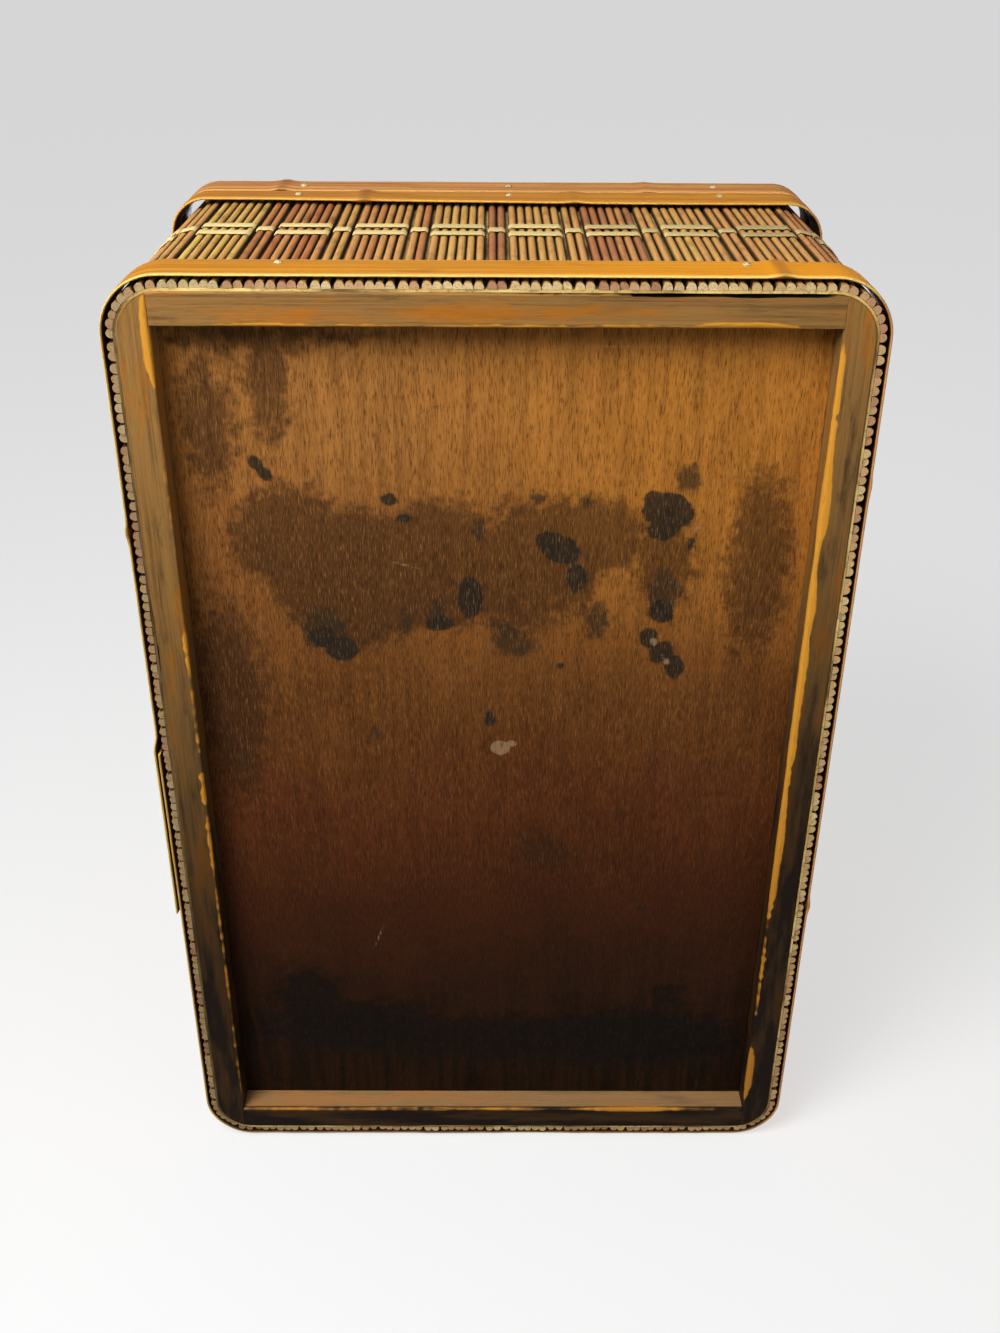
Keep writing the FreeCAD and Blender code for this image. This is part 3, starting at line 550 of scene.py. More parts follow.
def panel_finish():
    """Thin hardwood board, stained, with water marks, blots and fine dark pores along Y, painted
    shade towards -Y and painted light towards -X and +Y.
    """
    material, tree = new_material("stained_thin_board")
    place, across, length, _ = object_place(tree)
    turned = add(tree, "Mapping", {"Vector": place, "Rotation": (0.0, 0.0, math.pi / 2)})
    pores = streaks(tree, turned, 0.35 * MM, 3.5 * MM, 3.0)
    figure = streaks(tree, turned, 3.0 * MM, 40 * MM, 5.0)
    # clouds 38 mm across, and ragged edges in grains of 5 mm
    cloud, ragged = [
        add(
            tree,
            "TexNoise",
            {"Vector": place, "Scale": 1.0 / grains, "Detail": detail, "Roughness": roughness},
        )
        for grains, detail, roughness in ((38 * MM, 5.0, 0.6), (5 * MM, 6.0, 0.65))
    ]
    # the stain's tone in clouds, with painted shade that darkens it to near black towards -Y
    shifted = add(tree, "Math", {0: cloud, 1: 70 * MM, 2: length}, **TIMES_PLUS)
    share = add(tree, "MapRange", span(shifted, -139 * MM, 209 * MM))
    stops = [
        (0.03, "#0C0804"),
        (0.12, "#190E06"),
        (0.22, "#311709"),
        (0.33, "#48220D"),
        (0.46, "#5E3013"),
        (0.6, "#70431A"),
        (0.75, "#905A28"),
        (1.0, "#B47838"),
    ]
    base = add(tree, "ValToRGB", {"Fac": share}, stops)
    # painted light: a warmer, brighter patch towards -X and +Y
    painted_light_patch = add(tree, "MapRange", span(across, 50 * MM, -70 * MM, 0.0, 0.72), **EASED)
    upper = add(tree, "MapRange", span(length, 30 * MM, 120 * MM), **EASED)
    painted_light_patch = add(tree, "Math", {0: painted_light_patch, 1: upper}, **TIMES)
    base = add(tree, "Mix", {0: painted_light_patch, 6: base, 7: hex_colour("#C27C2A")}, **MIXED)
    base = tinted(tree, base, ("#40220C", figure, 0.3, 0.72, 0.0, 0.4))
    for name, colour, reach, most in STAINS:
        field = add(tree, "Attribute", attribute_name=name, out=NUMBER)
        edge = add(tree, "Math", {0: ragged, 1: 3 * reach * MM, 2: field}, **TIMES_PLUS)
        stain = (colour, edge, 1.1 * reach * MM, 2.1 * reach * MM, 0.0, most)
        base = tinted(tree, base, stain)
    # pores and pale flecks lie over the stains too
    base = tinted(tree, base, ("#241408", pores, 0.5, 0.68, 0.0, 0.7))
    flecks = add(tree, "MapRange", span(pores, 0.3, 0.46, 0.5, 0.0), **EASED)
    shown = add(tree, "MapRange", span(length, -110 * MM, 90 * MM, 0.12, 1.0), **EASED)
    flecks = add(tree, "Math", {0: flecks, 1: shown}, **TIMES)
    pale = add(tree, "Mix", {0: 0.5, 6: base, 7: hex_colour("#D89A54")}, **MIXED)
    base = add(tree, "Mix", {0: flecks, 6: base, 7: pale}, **MIXED)
    roughness = add(tree, "MapRange", span(ragged, 0.3, 0.7, 0.48, 0.66), **EASED)
    close_material(tree, base, roughness, pores, 0.05 * MM, Specular_IOR_Level=0.12)
    return material


def reed_finish(finishes):
    """Split reed, smoked unevenly and varnished: a satin skin with fine streaks lengthwise."""
    material, tree = new_material("smoked_split_reed")
    grain = add(tree, "Attribute", attribute_name="grain", out=VECTOR)
    tone = add(tree, "Attribute", attribute_name="tone", out=NUMBER)
    crown = add(tree, "Attribute", attribute_name="crown", out=NUMBER)
    seed = add(tree, "Math", {0: tone, 1: 97.0}, **TIMES)
    # fibres 0.35 mm apart, and blotches of smoke 16 mm long
    fibres = streaks(tree, grain, 0.35 * MM, 14 * MM, 3.0, seed)
    smoke = streaks(tree, grain, 6 * MM, 16 * MM, 4.0, seed)
    stops = [
        (0.0, finishes.reed_dull),
        (0.3, finishes.reed_red),
        (0.6, finishes.reed_tan),
        (0.84, "#DCA658"),
        (1.0, finishes.reed_straw),
    ]
    # the last tint is painted shade: it darkens a reed's flanks and the grooves between reeds
    base = tinted(
        tree,
        add(tree, "ValToRGB", {"Fac": tone}, stops),
        ("#5A3218", smoke, 0.5, 0.72, 0.0, 0.55),
        ("#C88A3C", smoke, 0.28, 0.45, 0.35, 0.0),
        ("#4A2A10", fibres, 0.5, 0.75, 0.0, 0.5),
        ("#20140B", crown, 0.6, 0.92, 0.93, 0.0),
    )
    roughness = add(tree, "MapRange", span(smoke, 0.3, 0.7, 0.45, 0.6), **EASED)
    close_material(tree, base, roughness, fibres, 0.05 * MM, Specular_IOR_Level=0.28)
    return material


def reed_end_finish():
    """The cut end of a reed: open pale fibre, darker where dirt has filled it."""
    material, tree = new_material("cut_reed_end")
    place, across, *_ = object_place(tree)
    specks = add(tree, "TexNoise", {"Vector": place, "Scale": 1.0 / (0.5 * MM), "Detail": 3.0})
    tone = add(tree, "Attribute", attribute_name="tone", out=NUMBER)
    stops = [(0.05, "#6A4830"), (0.25, "#BC8C68"), (0.6, "#D2AE78"), (0.95, "#E2CC98")]
    base = tinted(
        tree,
        add(tree, "ValToRGB", {"Fac": tone}, stops),
        ("#6C5034", specks, 0.5, 0.7, 0.0, 0.6),
        ("#6A5038", across, 40 * MM, 122 * MM, 0.0, 0.5),
    )
    close_material(tree, base, 0.75, specks, 0.1 * MM, Specular_IOR_Level=0.2)
    return material


def cane_finish(finishes):
    """Flat cane, split and unvarnished: pale, dusty, with lengthwise streaks."""
    material, tree = new_material("flat_cane")
    grain = add(tree, "Attribute", attribute_name="grain", out=VECTOR)
    tone = add(tree, "Attribute", attribute_name="tone", out=NUMBER)
    fibres = streaks(tree, grain, 0.3 * MM, 9 * MM, 3.0)
    base = tinted(
        tree,
        tuple(finishes.cane),
        ("#B49C68", tone, 0.0, 1.0, 0.0, 0.85),
        ("#8A7038", fibres, 0.48, 0.72, 0.0, 0.5),
    )
    close_material(tree, base, 0.55, fibres, 0.06 * MM, Specular_IOR_Level=0.35)
    return material


def liner_finish():
    """Thin veneer, bent while wet: a pale fibrous sheet, stained dark on the +X side."""
    material, tree = new_material("thin_pale_veneer")
    place, across, *_ = object_place(tree)
    fibre = add(
        tree,
        "TexNoise",
        {"Vector": place, "Scale": 1.0 / (2.4 * MM), "Detail": 5.0, "Roughness": 0.7},
    )
    cloud = add(tree, "TexNoise", {"Vector": place, "Scale": 1.0 / (30 * MM), "Detail": 3.0})
    stops = [(0.36, "#7A5C34"), (0.5, "#D8B468"), (0.64, "#F0D488")]
    base = tinted(
        tree,
        add(tree, "ValToRGB", {"Fac": cloud}, stops),
        ("#6E5630", fibre, 0.5, 0.68, 0.0, 0.7),
        ("#3C2A16", across, 110 * MM, 120 * MM, 0.0, 0.85),
    )
    close_material(tree, base, 0.7, fibre, 0.08 * MM, Specular_IOR_Level=0.25)
    return material


def bamboo_finish(name, skin, dark, edge, glow):
    """Split bamboo, skin side out under amber varnish: long fibre streaks, glossy and deep, with
    painted shade on its inner face and at the -Y end of its lower edge, and a painted highlight on
    its pale edges.

    The UV map runs along the band and across it, so the streaks follow it round corners.
    """
    material, tree = new_material(name)
    place = add(tree, "UVMap", uv_map="UVMap")
    fibres = streaks(tree, place, 0.5 * MM, 90 * MM, 5.0)
    figure = streaks(tree, place, 1.7 * MM, 190 * MM, 3.0)
    blotches = streaks(tree, place, 9 * MM, 30 * MM, 5.0)
    _, across, length, height = object_place(tree)
    rim, inside, joint = [
        add(tree, "Attribute", attribute_name=word, out=NUMBER) for word in ("rim", "inside", "joint")
    ]
    # the varnish, which the second tint deepens, is deepest towards -X
    base = tinted(
        tree,
        skin,
        (dark, figure, 0.4, 0.62, 0.0, 0.9),
        ("#F8A000", across, 40 * MM, -110 * MM, 0.0, glow),
        ("#7A4412", fibres, 0.5, 0.7, 0.0, 0.45),
        ("#F6BE48", fibres, 0.3, 0.44, 0.6, 0.0),
        ("#8A4E20", blotches, 0.54, 0.72, 0.0, 0.4),
    )
    # the pale cut edges, with a painted highlight along them
    edge = tinted(tree, hex_colour(edge), ("#BC8E68", across, -117 * MM, -124 * MM))
    pale_edge_and_highlight = add(tree, "MapRange", span(rim, 0.5, 1.0, 0.0, 0.8), **EASED)
    base = add(tree, "Mix", {0: pale_edge_and_highlight, 6: base, 7: edge}, **MIXED)
    # painted shade on the inner face, in the gap over the reeds
    base = add(tree, "Mix", {0: inside, 6: base, 7: hex_colour("#2E1C0E")}, **MIXED)
    # painted shade: the lower edge darkens at the -Y end, which lies in shade
    low_end_darkening = add(tree, "MapRange", span(length, -176 * MM, -188 * MM, 0.0, 0.8), **EASED)
    lowest = add(tree, "MapRange", span(height, 6 * MM, 1.5 * MM), **EASED)
    low_end_darkening = add(tree, "Math", {0: low_end_darkening, 1: lowest}, **TIMES)
    base = add(tree, "Mix", {0: low_end_darkening, 6: base, 7: hex_colour("#3A2110")}, **MIXED)
    base = tinted(tree, base, ("#8A5020", joint, 0.35, 1.0, 0.0, 0.5))
    roughness = add(tree, "MapRange", span(blotches, 0.3, 0.7, 0.4, 0.52), **EASED)
    gloss = {"Specular_IOR_Level": 0.16, "Coat_Weight": 0.03, "Coat_Roughness": 0.3}
    close_material(tree, base, roughness, fibres, 0.06 * MM, **gloss)
    return material


def rail_finish(finishes):
    """Hardwood, planed, stained and varnished, with its grain along X."""
    material, tree = new_material("stained_hardwood")
    place = add(tree, "TexCoord", out=OBJECT)
    rings = streaks(tree, place, 1.0 * MM, 50 * MM, 5.0)
    pores = streaks(tree, place, 0.3 * MM, 6 * MM, 3.0)
    wear = add(tree, "Attribute", attribute_name="wear", out=NUMBER)
    base = tinted(
        tree,
        tuple(finishes.rail),
        ("#35200F", rings, 0.35, 0.68, 0.0, 0.7),
        ("#26160A", pores, 0.55, 0.75, 0.0, 0.6),
        ("#A8713A", wear, 0.3, 1.0, 0.0, 0.6),
    )
    roughness = add(tree, "MapRange", span(rings, 0.3, 0.7, 0.32, 0.45), **EASED)
    gloss = {"Specular_IOR_Level": 0.25, "Coat_Weight": 0.04}
    close_material(tree, base, roughness, pores, 0.06 * MM, **gloss)
    return material


def cloth_finish(finishes):
    """Plain woven cotton: threads 0.9 mm apart, over and under in turn, with no gloss."""
    material, tree = new_material("plain_cotton")
    place = add(tree, "TexCoord", out=OBJECT)
    # a wave repeats every pi / (10 x its scale), and one repeat is two threads
    links = {"Vector": place, "Scale": 0.5 * math.pi / (10 * 0.9 * MM), "Distortion": 0.6}
    waves = [add(tree, "TexWave", links, bands_direction=axis) for axis in ("X", "Y")]
    weave = add(tree, "Math", {0: waves[0], 1: waves[1]}, **TIMES)
    cloud = add(tree, "TexNoise", {"Vector": place, "Scale": 1.0 / (18 * MM), "Detail": 5.0})
    base = tinted(
        tree,
        tuple(finishes.cloth),
        ("#2A2018", weave, 0.0, 0.6, 0.7, 0.0),
        ("#7C6448", cloud, 0.4, 0.7, 0.0, 0.35),
    )
    gloss = {"Specular_IOR_Level": 0.15, "Sheen_Weight": 0.15}
    close_material(tree, base, 0.92, weave, 0.15 * MM, **gloss)
    return material


def metal_finish(name, colour, dirt, roughness):
    """Drawn wire or sheet metal, dulled by handling, with dark specks of dirt."""
    material, tree = new_material(name)
    place = add(tree, "TexCoord", out=OBJECT)
    specks = add(tree, "TexNoise", {"Vector": place, "Scale": 1.0 / (0.8 * MM), "Detail": 5.0})
    base = tinted(tree, colour, (dirt, specks, 0.48, 0.7, 0.0, 0.8))
    rough = add(tree, "MapRange", span(specks, 0.3, 0.7, roughness, roughness + 0.25), **EASED)
    close_material(tree, base, rough, specks, 0.03 * MM, Metallic=0.4)
    return material



# Boards and panel


def board_rings(along, width, top, arris, chip, seed):
    """A board's cross sections: across from its inner face, and up from the underside.

    The section runs down the inner face, round the inner arris, over the bottom edge, round
    the outer arris and back over the top. An arris of radius r is cut through the points
    (0, r), (0.29 r, 0.29 r) and (r, 0), and the radii change along the board. A chip cuts
    steeply into the outer arris. The third result is how far each point lies from the inner
    arris, and the fourth how deep in a chip it lies, as a share.
    """
    one = np.ones_like(along)
    inner = np.minimum(arris, 0.4 * width)
    outer = np.minimum(0.5 * MM + chip, 0.4 * width)
    deep = outer * (1.0 + 7.0 * chip / MM)
    flat = width - inner - outer
    levels = np.array([148.4, 90.0, 40.0, 20.0, 10.6, 7.0, 4.5, 2.6]) * MM
    across, up = [], []
    for number, level in enumerate(levels):
        dent = 0.1 * MM * eased_noise(along, 23 * MM, seed + number)
        across.append(np.minimum(dent + 0.1 * MM, 0.2 * width))
        up.append(level * one)
    for a, z in ((0.0, 1.0), (0.29, 0.29), (1.0, 0.0)):
        across.append(a * inner)
        up.append(z * inner)
    for share in (0.1, 0.24, 0.4, 0.6, 0.78, 0.9):
        across.append(inner + flat * share)
        up.append(0.09 * MM * (1 + eased_noise(along + share, 31 * MM, seed + 20)))
    pit = [0.0 * one] * len(across)
    # points on a chip's slope carry its depth, which sets painted shade there
    for a, z, dark in ((1.0, 0.0, 0.0), (0.95, 0.08, 1.0), (0.29, 0.5, 1.0), (0.0, 1.0, 1.0)):
        across.append(width - a * outer)
        up.append(z * deep)
        pit.append(dark * chip / MM)
    for a, z in ((0.0, 0.5 * top), (0.0, top - 0.6 * MM), (0.6 * MM, top)):
        across.append(width - a)
        up.append(z * one)
    across += [0.5 * width, 0.6 * MM * one]
    up += [top * one, top * one]
    across = np.minimum(np.stack(across, axis=-1), width[:, None])
    up = np.stack(up, axis=-1)
    reach = inner[:, None] + 0.02 * MM
    away = np.maximum(np.maximum(across - reach, up - reach), 0.0)
    pit += [0.0 * one] * (across.shape[-1] - len(pit))
    return across, up, away, np.stack(pit, axis=-1)


def patches_along(along, patches, seed):
    """How worn an arris is along a board: bell curves about places, made ragged."""
    worn = np.zeros_like(along)
    for middle, reach, strength in patches:
        bell = strength * np.exp(-(((along - middle * MM) / (reach * MM)) ** 4))
        worn = np.maximum(worn, bell)
    ragged = 0.8 + 0.2 * eased_noise(along, 13 * MM, seed)
    ragged += 0.35 * eased_noise(along, 2.3 * MM, seed + 1) * (worn < 0.6)
    return np.clip(worn * ragged + 0.04 * eased_noise(along, 1.7 * MM, seed + 2), 0.0, 1.0)


# Each board in millimetres: the worn stretches of its inner arris, which also carry a painted
# highlight, and the chipped stretches of its outer one, as middle, half length and strength, and how
# far the wear reaches
BOARDS = {
    "left": {
        "worn": [
            (171.0, 15.0, 1.0),
            (118.0, 16.0, 0.2),
            (56.0, 9.0, 0.42),
            (30.0, 24.0, 0.3),
            (-2.0, 9.0, 0.5),
            (-30.0, 14.0, 0.42),
            (-80.0, 30.0, 0.3),
            (-140.0, 24.0, 0.24),
        ],
        "chips": [(60.0, 14.0, 0.3)],
        "reach": 3.0,
    },
    "right": {
        "worn": [
            (156.0, 14.0, 0.8),
            (120.0, 26.0, 0.95),
            (50.0, 50.0, 1.0),
            (-30.0, 40.0, 0.75),
            (-95.0, 26.0, 0.4),
            (-152.0, 14.0, 1.0),
        ],
        "chips": [(-40.0, 20.0, 0.2)],
        "reach": 2.4,
    },
    "front": {
        "worn": [(-80.0, 18.0, 0.9), (-20.0, 46.0, 0.42), (60.0, 40.0, 0.36)],
        "chips": [(-58.0, 22.0, 0.75), (-88.0, 20.0, 1.0), (-20.0, 24.0, 0.3)],
        "reach": 1.5,
    },
    "back": {
        "worn": [(40.0, 70.0, 0.3), (-62.0, 24.0, 0.62), (-95.0, 12.0, 0.3)],
        "chips": [(20.0, 30.0, 0.2)],
        "reach": 1.2,
    },
}


class TAMBOUR_OT_boards(bpy.types.Operator):
    """Build the four boards, with rounded corners, worn arrises and chips"""

    bl_idname = "tambour.boards"
    bl_label = "Boards"

    def execute(self, context):
        sizes = context.scene.tambour_sizes
        finish = board_finish(context.scene.tambour_finishes)
        half_x, half_y = sizes.half_opening_width, sizes.half_opening_length
        board, corner = sizes.board, sizes.corner
        for number, (name, marks) in enumerate(BOARDS.items()):
            sideways = name in ("left", "right")
            sign = 1.0 if name in ("left", "front") else -1.0
            # the outer face follows the rounded corner: centre line plus the root of r^2 - d^2
            if sideways:
                reach, straight, near = half_y + board - 0.8 * MM, half_y + board - corner, half_x
            else:
                reach, straight, near = half_x - 0.05 * MM, half_x + board - corner, half_y
            sections = LONG_BOARD_SECTIONS if sideways else SHORT_BOARD_SECTIONS
            along = np.linspace(-reach, reach, sections)
            past = np.maximum(np.abs(along) - straight, 0.0)
            width = board - corner + np.sqrt(np.maximum(corner**2 - past**2, 0.0))
            worn = patches_along(along, marks["worn"], 11 + number)
            chip = MM * patches_along(along, marks["chips"], 31 + number)
            arris = (0.5 + 0.9 * worn) * MM
            arris += 0.15 * MM * eased_noise(along, 8 * MM, 41 + number)
            across, up, away, pit = board_rings(
                along, width, sizes.board_top, arris, chip, 100 * number
            )
            run = np.broadcast_to(along[:, None], across.shape)
            out = sign * (near + across)
            flat = np.stack([out, run] if sideways else [run, out], axis=-1)
            rings = raised(flat, up)[None]
            wear = marks["reach"] * MM * (worn[:, None] - 0.15) - away
            grain = np.stack([run + number, across + 0.05 * number, up], axis=-1)
            piece = add_piece(
                f"board_{name}",
                rings,
                [finish],
                wear=wear[None],
                pit=pit[None],
                clean=float(name == "back"),
                grain=grain[None],
            )
            word = "side_board" if sideways else "end_board"
            settle(piece, "box", "board_wood", f"{word}_{name}")
        return {"FINISHED"}


# The panel's marks in millimetres: X, Y, reach in X, reach in Y and lean in degrees
BLOTS = [
    (-60, 107, 9.4, 7.0, 10),
    (-58, 100, 5.3, 4.2, 0),
    (-55, 111, 4.1, 3.7, 0),
    (-69, 96, 1.4, 4.0, 25),
    (-22, 93, 8.8, 5.4, 30),
    (-29, 81, 4.0, 5.7, 0),
    (9, 73, 4.8, 8.8, -5),
    (20, 63, 5.3, 3.5, 0),
    (56, 52, 5.9, 5.2, 0),
    (63, 57, 5.0, 4.5, 0),
    (-60, 68, 4.5, 5.0, 0),
    (-56, 57, 3.6, 4.5, 0),
    (-61, 51, 4.0, 5.5, 40),
    (-66, 45, 3.8, 5.1, 0),
    (37, 111, 3.6, 2.3, 15),
    (32, 104, 3.1, 1.7, 0),
    (82, 124, 3.4, 2.4, 50),
    (79, 120, 3.2, 2.4, 50),
    (88, 127, 1.0, 1.1, 0),
    (-24, 45, 1.6, 1.6, 0),
    (2, 21, 2.0, 2.6, 0),
    (2, 24, 1.4, 2.0, 0),
    (-60, -69, 3.7, 1.0, 0),
    (19, 144, 2.0, 0.8, 0),
]
HAZES = [
    (-8, 53, 7.8, 4.7, 0),
    (-3, 58, 4.5, 7.0, 0),
    (-37, 64, 4.3, 8.4, 0),
    (-60, 76, 6.0, 9.0, 0),
    (21, 68, 3.6, 5.0, 0),
    (33, 64, 2.4, 6.4, 0),
    (62, 60, 8.0, 9.0, 0),
    (6, 99, 2.3, 3.5, 0),
    (-31, 111, 2.0, 1.9, 0),
    (-14, 112, 3.1, 2.7, 0),
    (46, 15, 2.3, 4.1, 0),
    (96, 5, 1.9, 2.8, 0),
    (-66, 119, 4.2, 5.6, 0),
]
CLOUDS = [
    (97, 138, 9, 26, 0),
    (76, 154, 8, 24, 0),
    (80, 168, 34, 6, 0),
    (-28, 82, 10, 20, 15),
    (-8, 84, 16, 28, 0),
    (20, 86, 26, 26, 0),
    (52, 80, 28, 30, -30),
    (74, 98, 22, 18, -35),
    (-30, 97, 26, 16, 0),
    (-60, 86, 11, 20, 0),
    (-93, 86, 12, 37, 0),
    (-91, 109, 8, 9, 0),
    (-20, -40, 12, 9, 30),
    (98, 30, 13, 44, 0),
]
DARKS = [
    (79, -118, 15, 17, 0),
    (60, -135, 40, 16, 0),
    (0, -142, 60, 14, 0),
    (-75, -118, 7, 8, 0),
    (-60, -142, 50, 18, 0),
]
SCUFFS = [
    (-2, 9, 3.8, 3.2, 0),
    (-6, 11, 2.4, 1.2, 0),
    (-35, 165, 13, 0.3, 0),
    (-58, 165, 6, 0.3, 0),
    (-58, 55.5, 1.5, 1.7, 0),
    (-63, 47, 1.1, 1.3, 0),
    (-61, 49.5, 0.7, 0.7, 0),
    (-71, 101, 1.8, 0.4, 0),
    (-69, 97, 0.4, 2.4, 25),
    (32, 86, 4.6, 0.3, 15),
    (48, -85, 0.3, 4.5, 20),
    (105, 130, 0.5, 0.5, 0),
]


def mark_field(x, y, marks):
    """How deep, in metres, a place lies inside the nearest mark's ellipse, below 0 outside.

    Each mark gives (1 - d) times its smaller reach, where d is the distance from its middle
    as a share of its reach, and the largest counts.
    """
    deepest = np.full(x.shape, -30 * MM)
    for middle_x, middle_y, reach_x, reach_y, lean in marks:
        turn = math.radians(lean)
        dx, dy = x - middle_x * MM, y - middle_y * MM
        side = (dx * math.cos(turn) + dy * math.sin(turn)) / (reach_x * MM)
        rise = (dy * math.cos(turn) - dx * math.sin(turn)) / (reach_y * MM)
        depth = (1.0 - np.hypot(side, rise)) * min(reach_x, reach_y) * MM
        deepest = np.maximum(deepest, depth)
    return deepest


class TAMBOUR_OT_panel(bpy.types.Operator):
    """Build the bottom panel, slightly warped, with the places of its stains"""

    bl_idname = "tambour.panel"
    bl_label = "Panel"

    def execute(self, context):
        sizes = context.scene.tambour_sizes
        half_x, half_y = sizes.half_opening_width, sizes.half_opening_length
        x = np.linspace(-half_x, half_x, PANEL_COLUMNS)[:, None]
        down = np.linspace(half_y, -half_y, PANEL_ROWS)
        back = np.linspace(-half_y, half_y, PANEL_TOP_ROWS)
        y = np.concatenate([down, back])[None]
        under = (np.arange(PANEL_ROWS + PANEL_TOP_ROWS) < PANEL_ROWS)[None]
        warp = 0.25 * MM * eased_noise(x + 1, 70 * MM, 5) * eased_noise(y + 1, 90 * MM, 6)
        lift = np.where(under, sizes.recess, sizes.recess + sizes.panel) + warp
        x, y = np.broadcast_to(x, lift.shape), np.broadcast_to(y, lift.shape)
        rings = np.stack([x, y, lift], axis=-1)[None]
        fields = {
            "cloud": CLOUDS,
            "dark": DARKS,
            "haze": HAZES,
            "blot": BLOTS,
            "scuff": SCUFFS,
        }
        fields = {key: mark_field(x, y, marks)[None] for key, marks in fields.items()}
        finish = panel_finish()
        piece = add_piece("panel", rings, [finish], **fields)
        settle(piece, "box", "panel_wood", "bottom_panel")
        return {"FINISHED"}


# The skin of the walls


class TAMBOUR_OT_liner(bpy.types.Operator):
    """Build the thin liner that is bent round the boards"""

    bl_idname = "tambour.liner"
    bl_label = "Liner"

    def execute(self, context):
        sizes = context.scene.tambour_sizes
        line = Outline(
            sizes.half_opening_width + sizes.board,
            sizes.half_opening_length + sizes.board,
            sizes.corner,
        )
        along = np.linspace(0.0, line.length, LINER_SECTIONS, endpoint=False)[:, None]
        thin, bottom, top = sizes.liner, 0.4 * MM, sizes.box_top - 0.8 * MM
        inner, outer = 0.03 * MM, GLUE_GAP + thin
        out = np.array([[inner, inner, inner, inner, outer, outer, outer, outer]])
        up = np.array([[bottom, 30 * MM, 120 * MM, top, top, 120 * MM, 30 * MM, bottom]])
        edge = np.array([[1.0, 0.0, 0.0, 0.0, 0.0, 0.0, 0.0, 1.0]])
        wave = 0.5 + 0.5 * eased_noise(along, 14 * MM, 51)
        up = up + edge * 0.45 * MM * wave
        flat = line.at(along, out)
        piece = add_piece("liner", raised(flat, up)[None], [liner_finish()], looped=True)
        settle(piece, "box", "pale_liner", "wall_liner")
        return {"FINISHED"}


def reed_profile(width, depth, steps=6):
    """A split reed's section: a flat back, short flanks and a half-round front.

    The front is the half circle (w/2 cos t, d - w/2 + w/2 sin t).
    """
    angle = np.linspace(0.0, math.pi, steps + 1)
    half = width[..., None] / 2
    side = np.concatenate([-half, half, half * np.cos(angle)], axis=-1)
    shoulder = depth[..., None] - half
    out = np.concatenate([0.0 * half, 0.0 * half, shoulder + half * np.sin(angle)], axis=-1)
    return side, out


def wall_groups(sizes):
    """The reed line, and each group's reed count and the distance of its middle along it."""
    face = GLUE_GAP + sizes.liner + REED_GAP
    middle = face + sizes.reed_depth / 2
    line = Outline(
        sizes.half_opening_width + sizes.board + middle,
        sizes.half_opening_length + sizes.board + middle,
        sizes.corner + middle,
    )
    in_unit = sizes.wide_group + sizes.narrow_group
    units = 2 * round(line.length / (2 * in_unit * sizes.reed_pitch))
    unit = line.length / units
    pitch = (unit - 2 * sizes.group_gap) / in_unit
    groups = [(sizes.narrow_group, n * unit) for n in range(units)]
    groups += [(sizes.wide_group, (n + 0.5) * unit) for n in range(units)]
    return line, groups, pitch


def wall_of(flat, sizes):
    """The number in WALLS of the wall that each place stands on."""
    across = np.abs(flat[..., 0]) / (sizes.half_opening_width + sizes.board)
    along = np.abs(flat[..., 1]) / (sizes.half_opening_length + sizes.board)
    sides = np.where(flat[..., 0] > 0, 0, 1)
    ends = np.where(flat[..., 1] > 0, 2, 3)
    return np.where(across > along, sides, ends)


# How pale each group of the +Y wall is, from its +X end to its -X end: 0 is dull, 1 is straw
FRONT_TONES = (0.95, 0.48, 0.42, 0.8, 0.6, 0.5, 0.76, 0.36, 0.7, 0.64, 0.36, 0.84, 0.74, 0.66, 0.7)


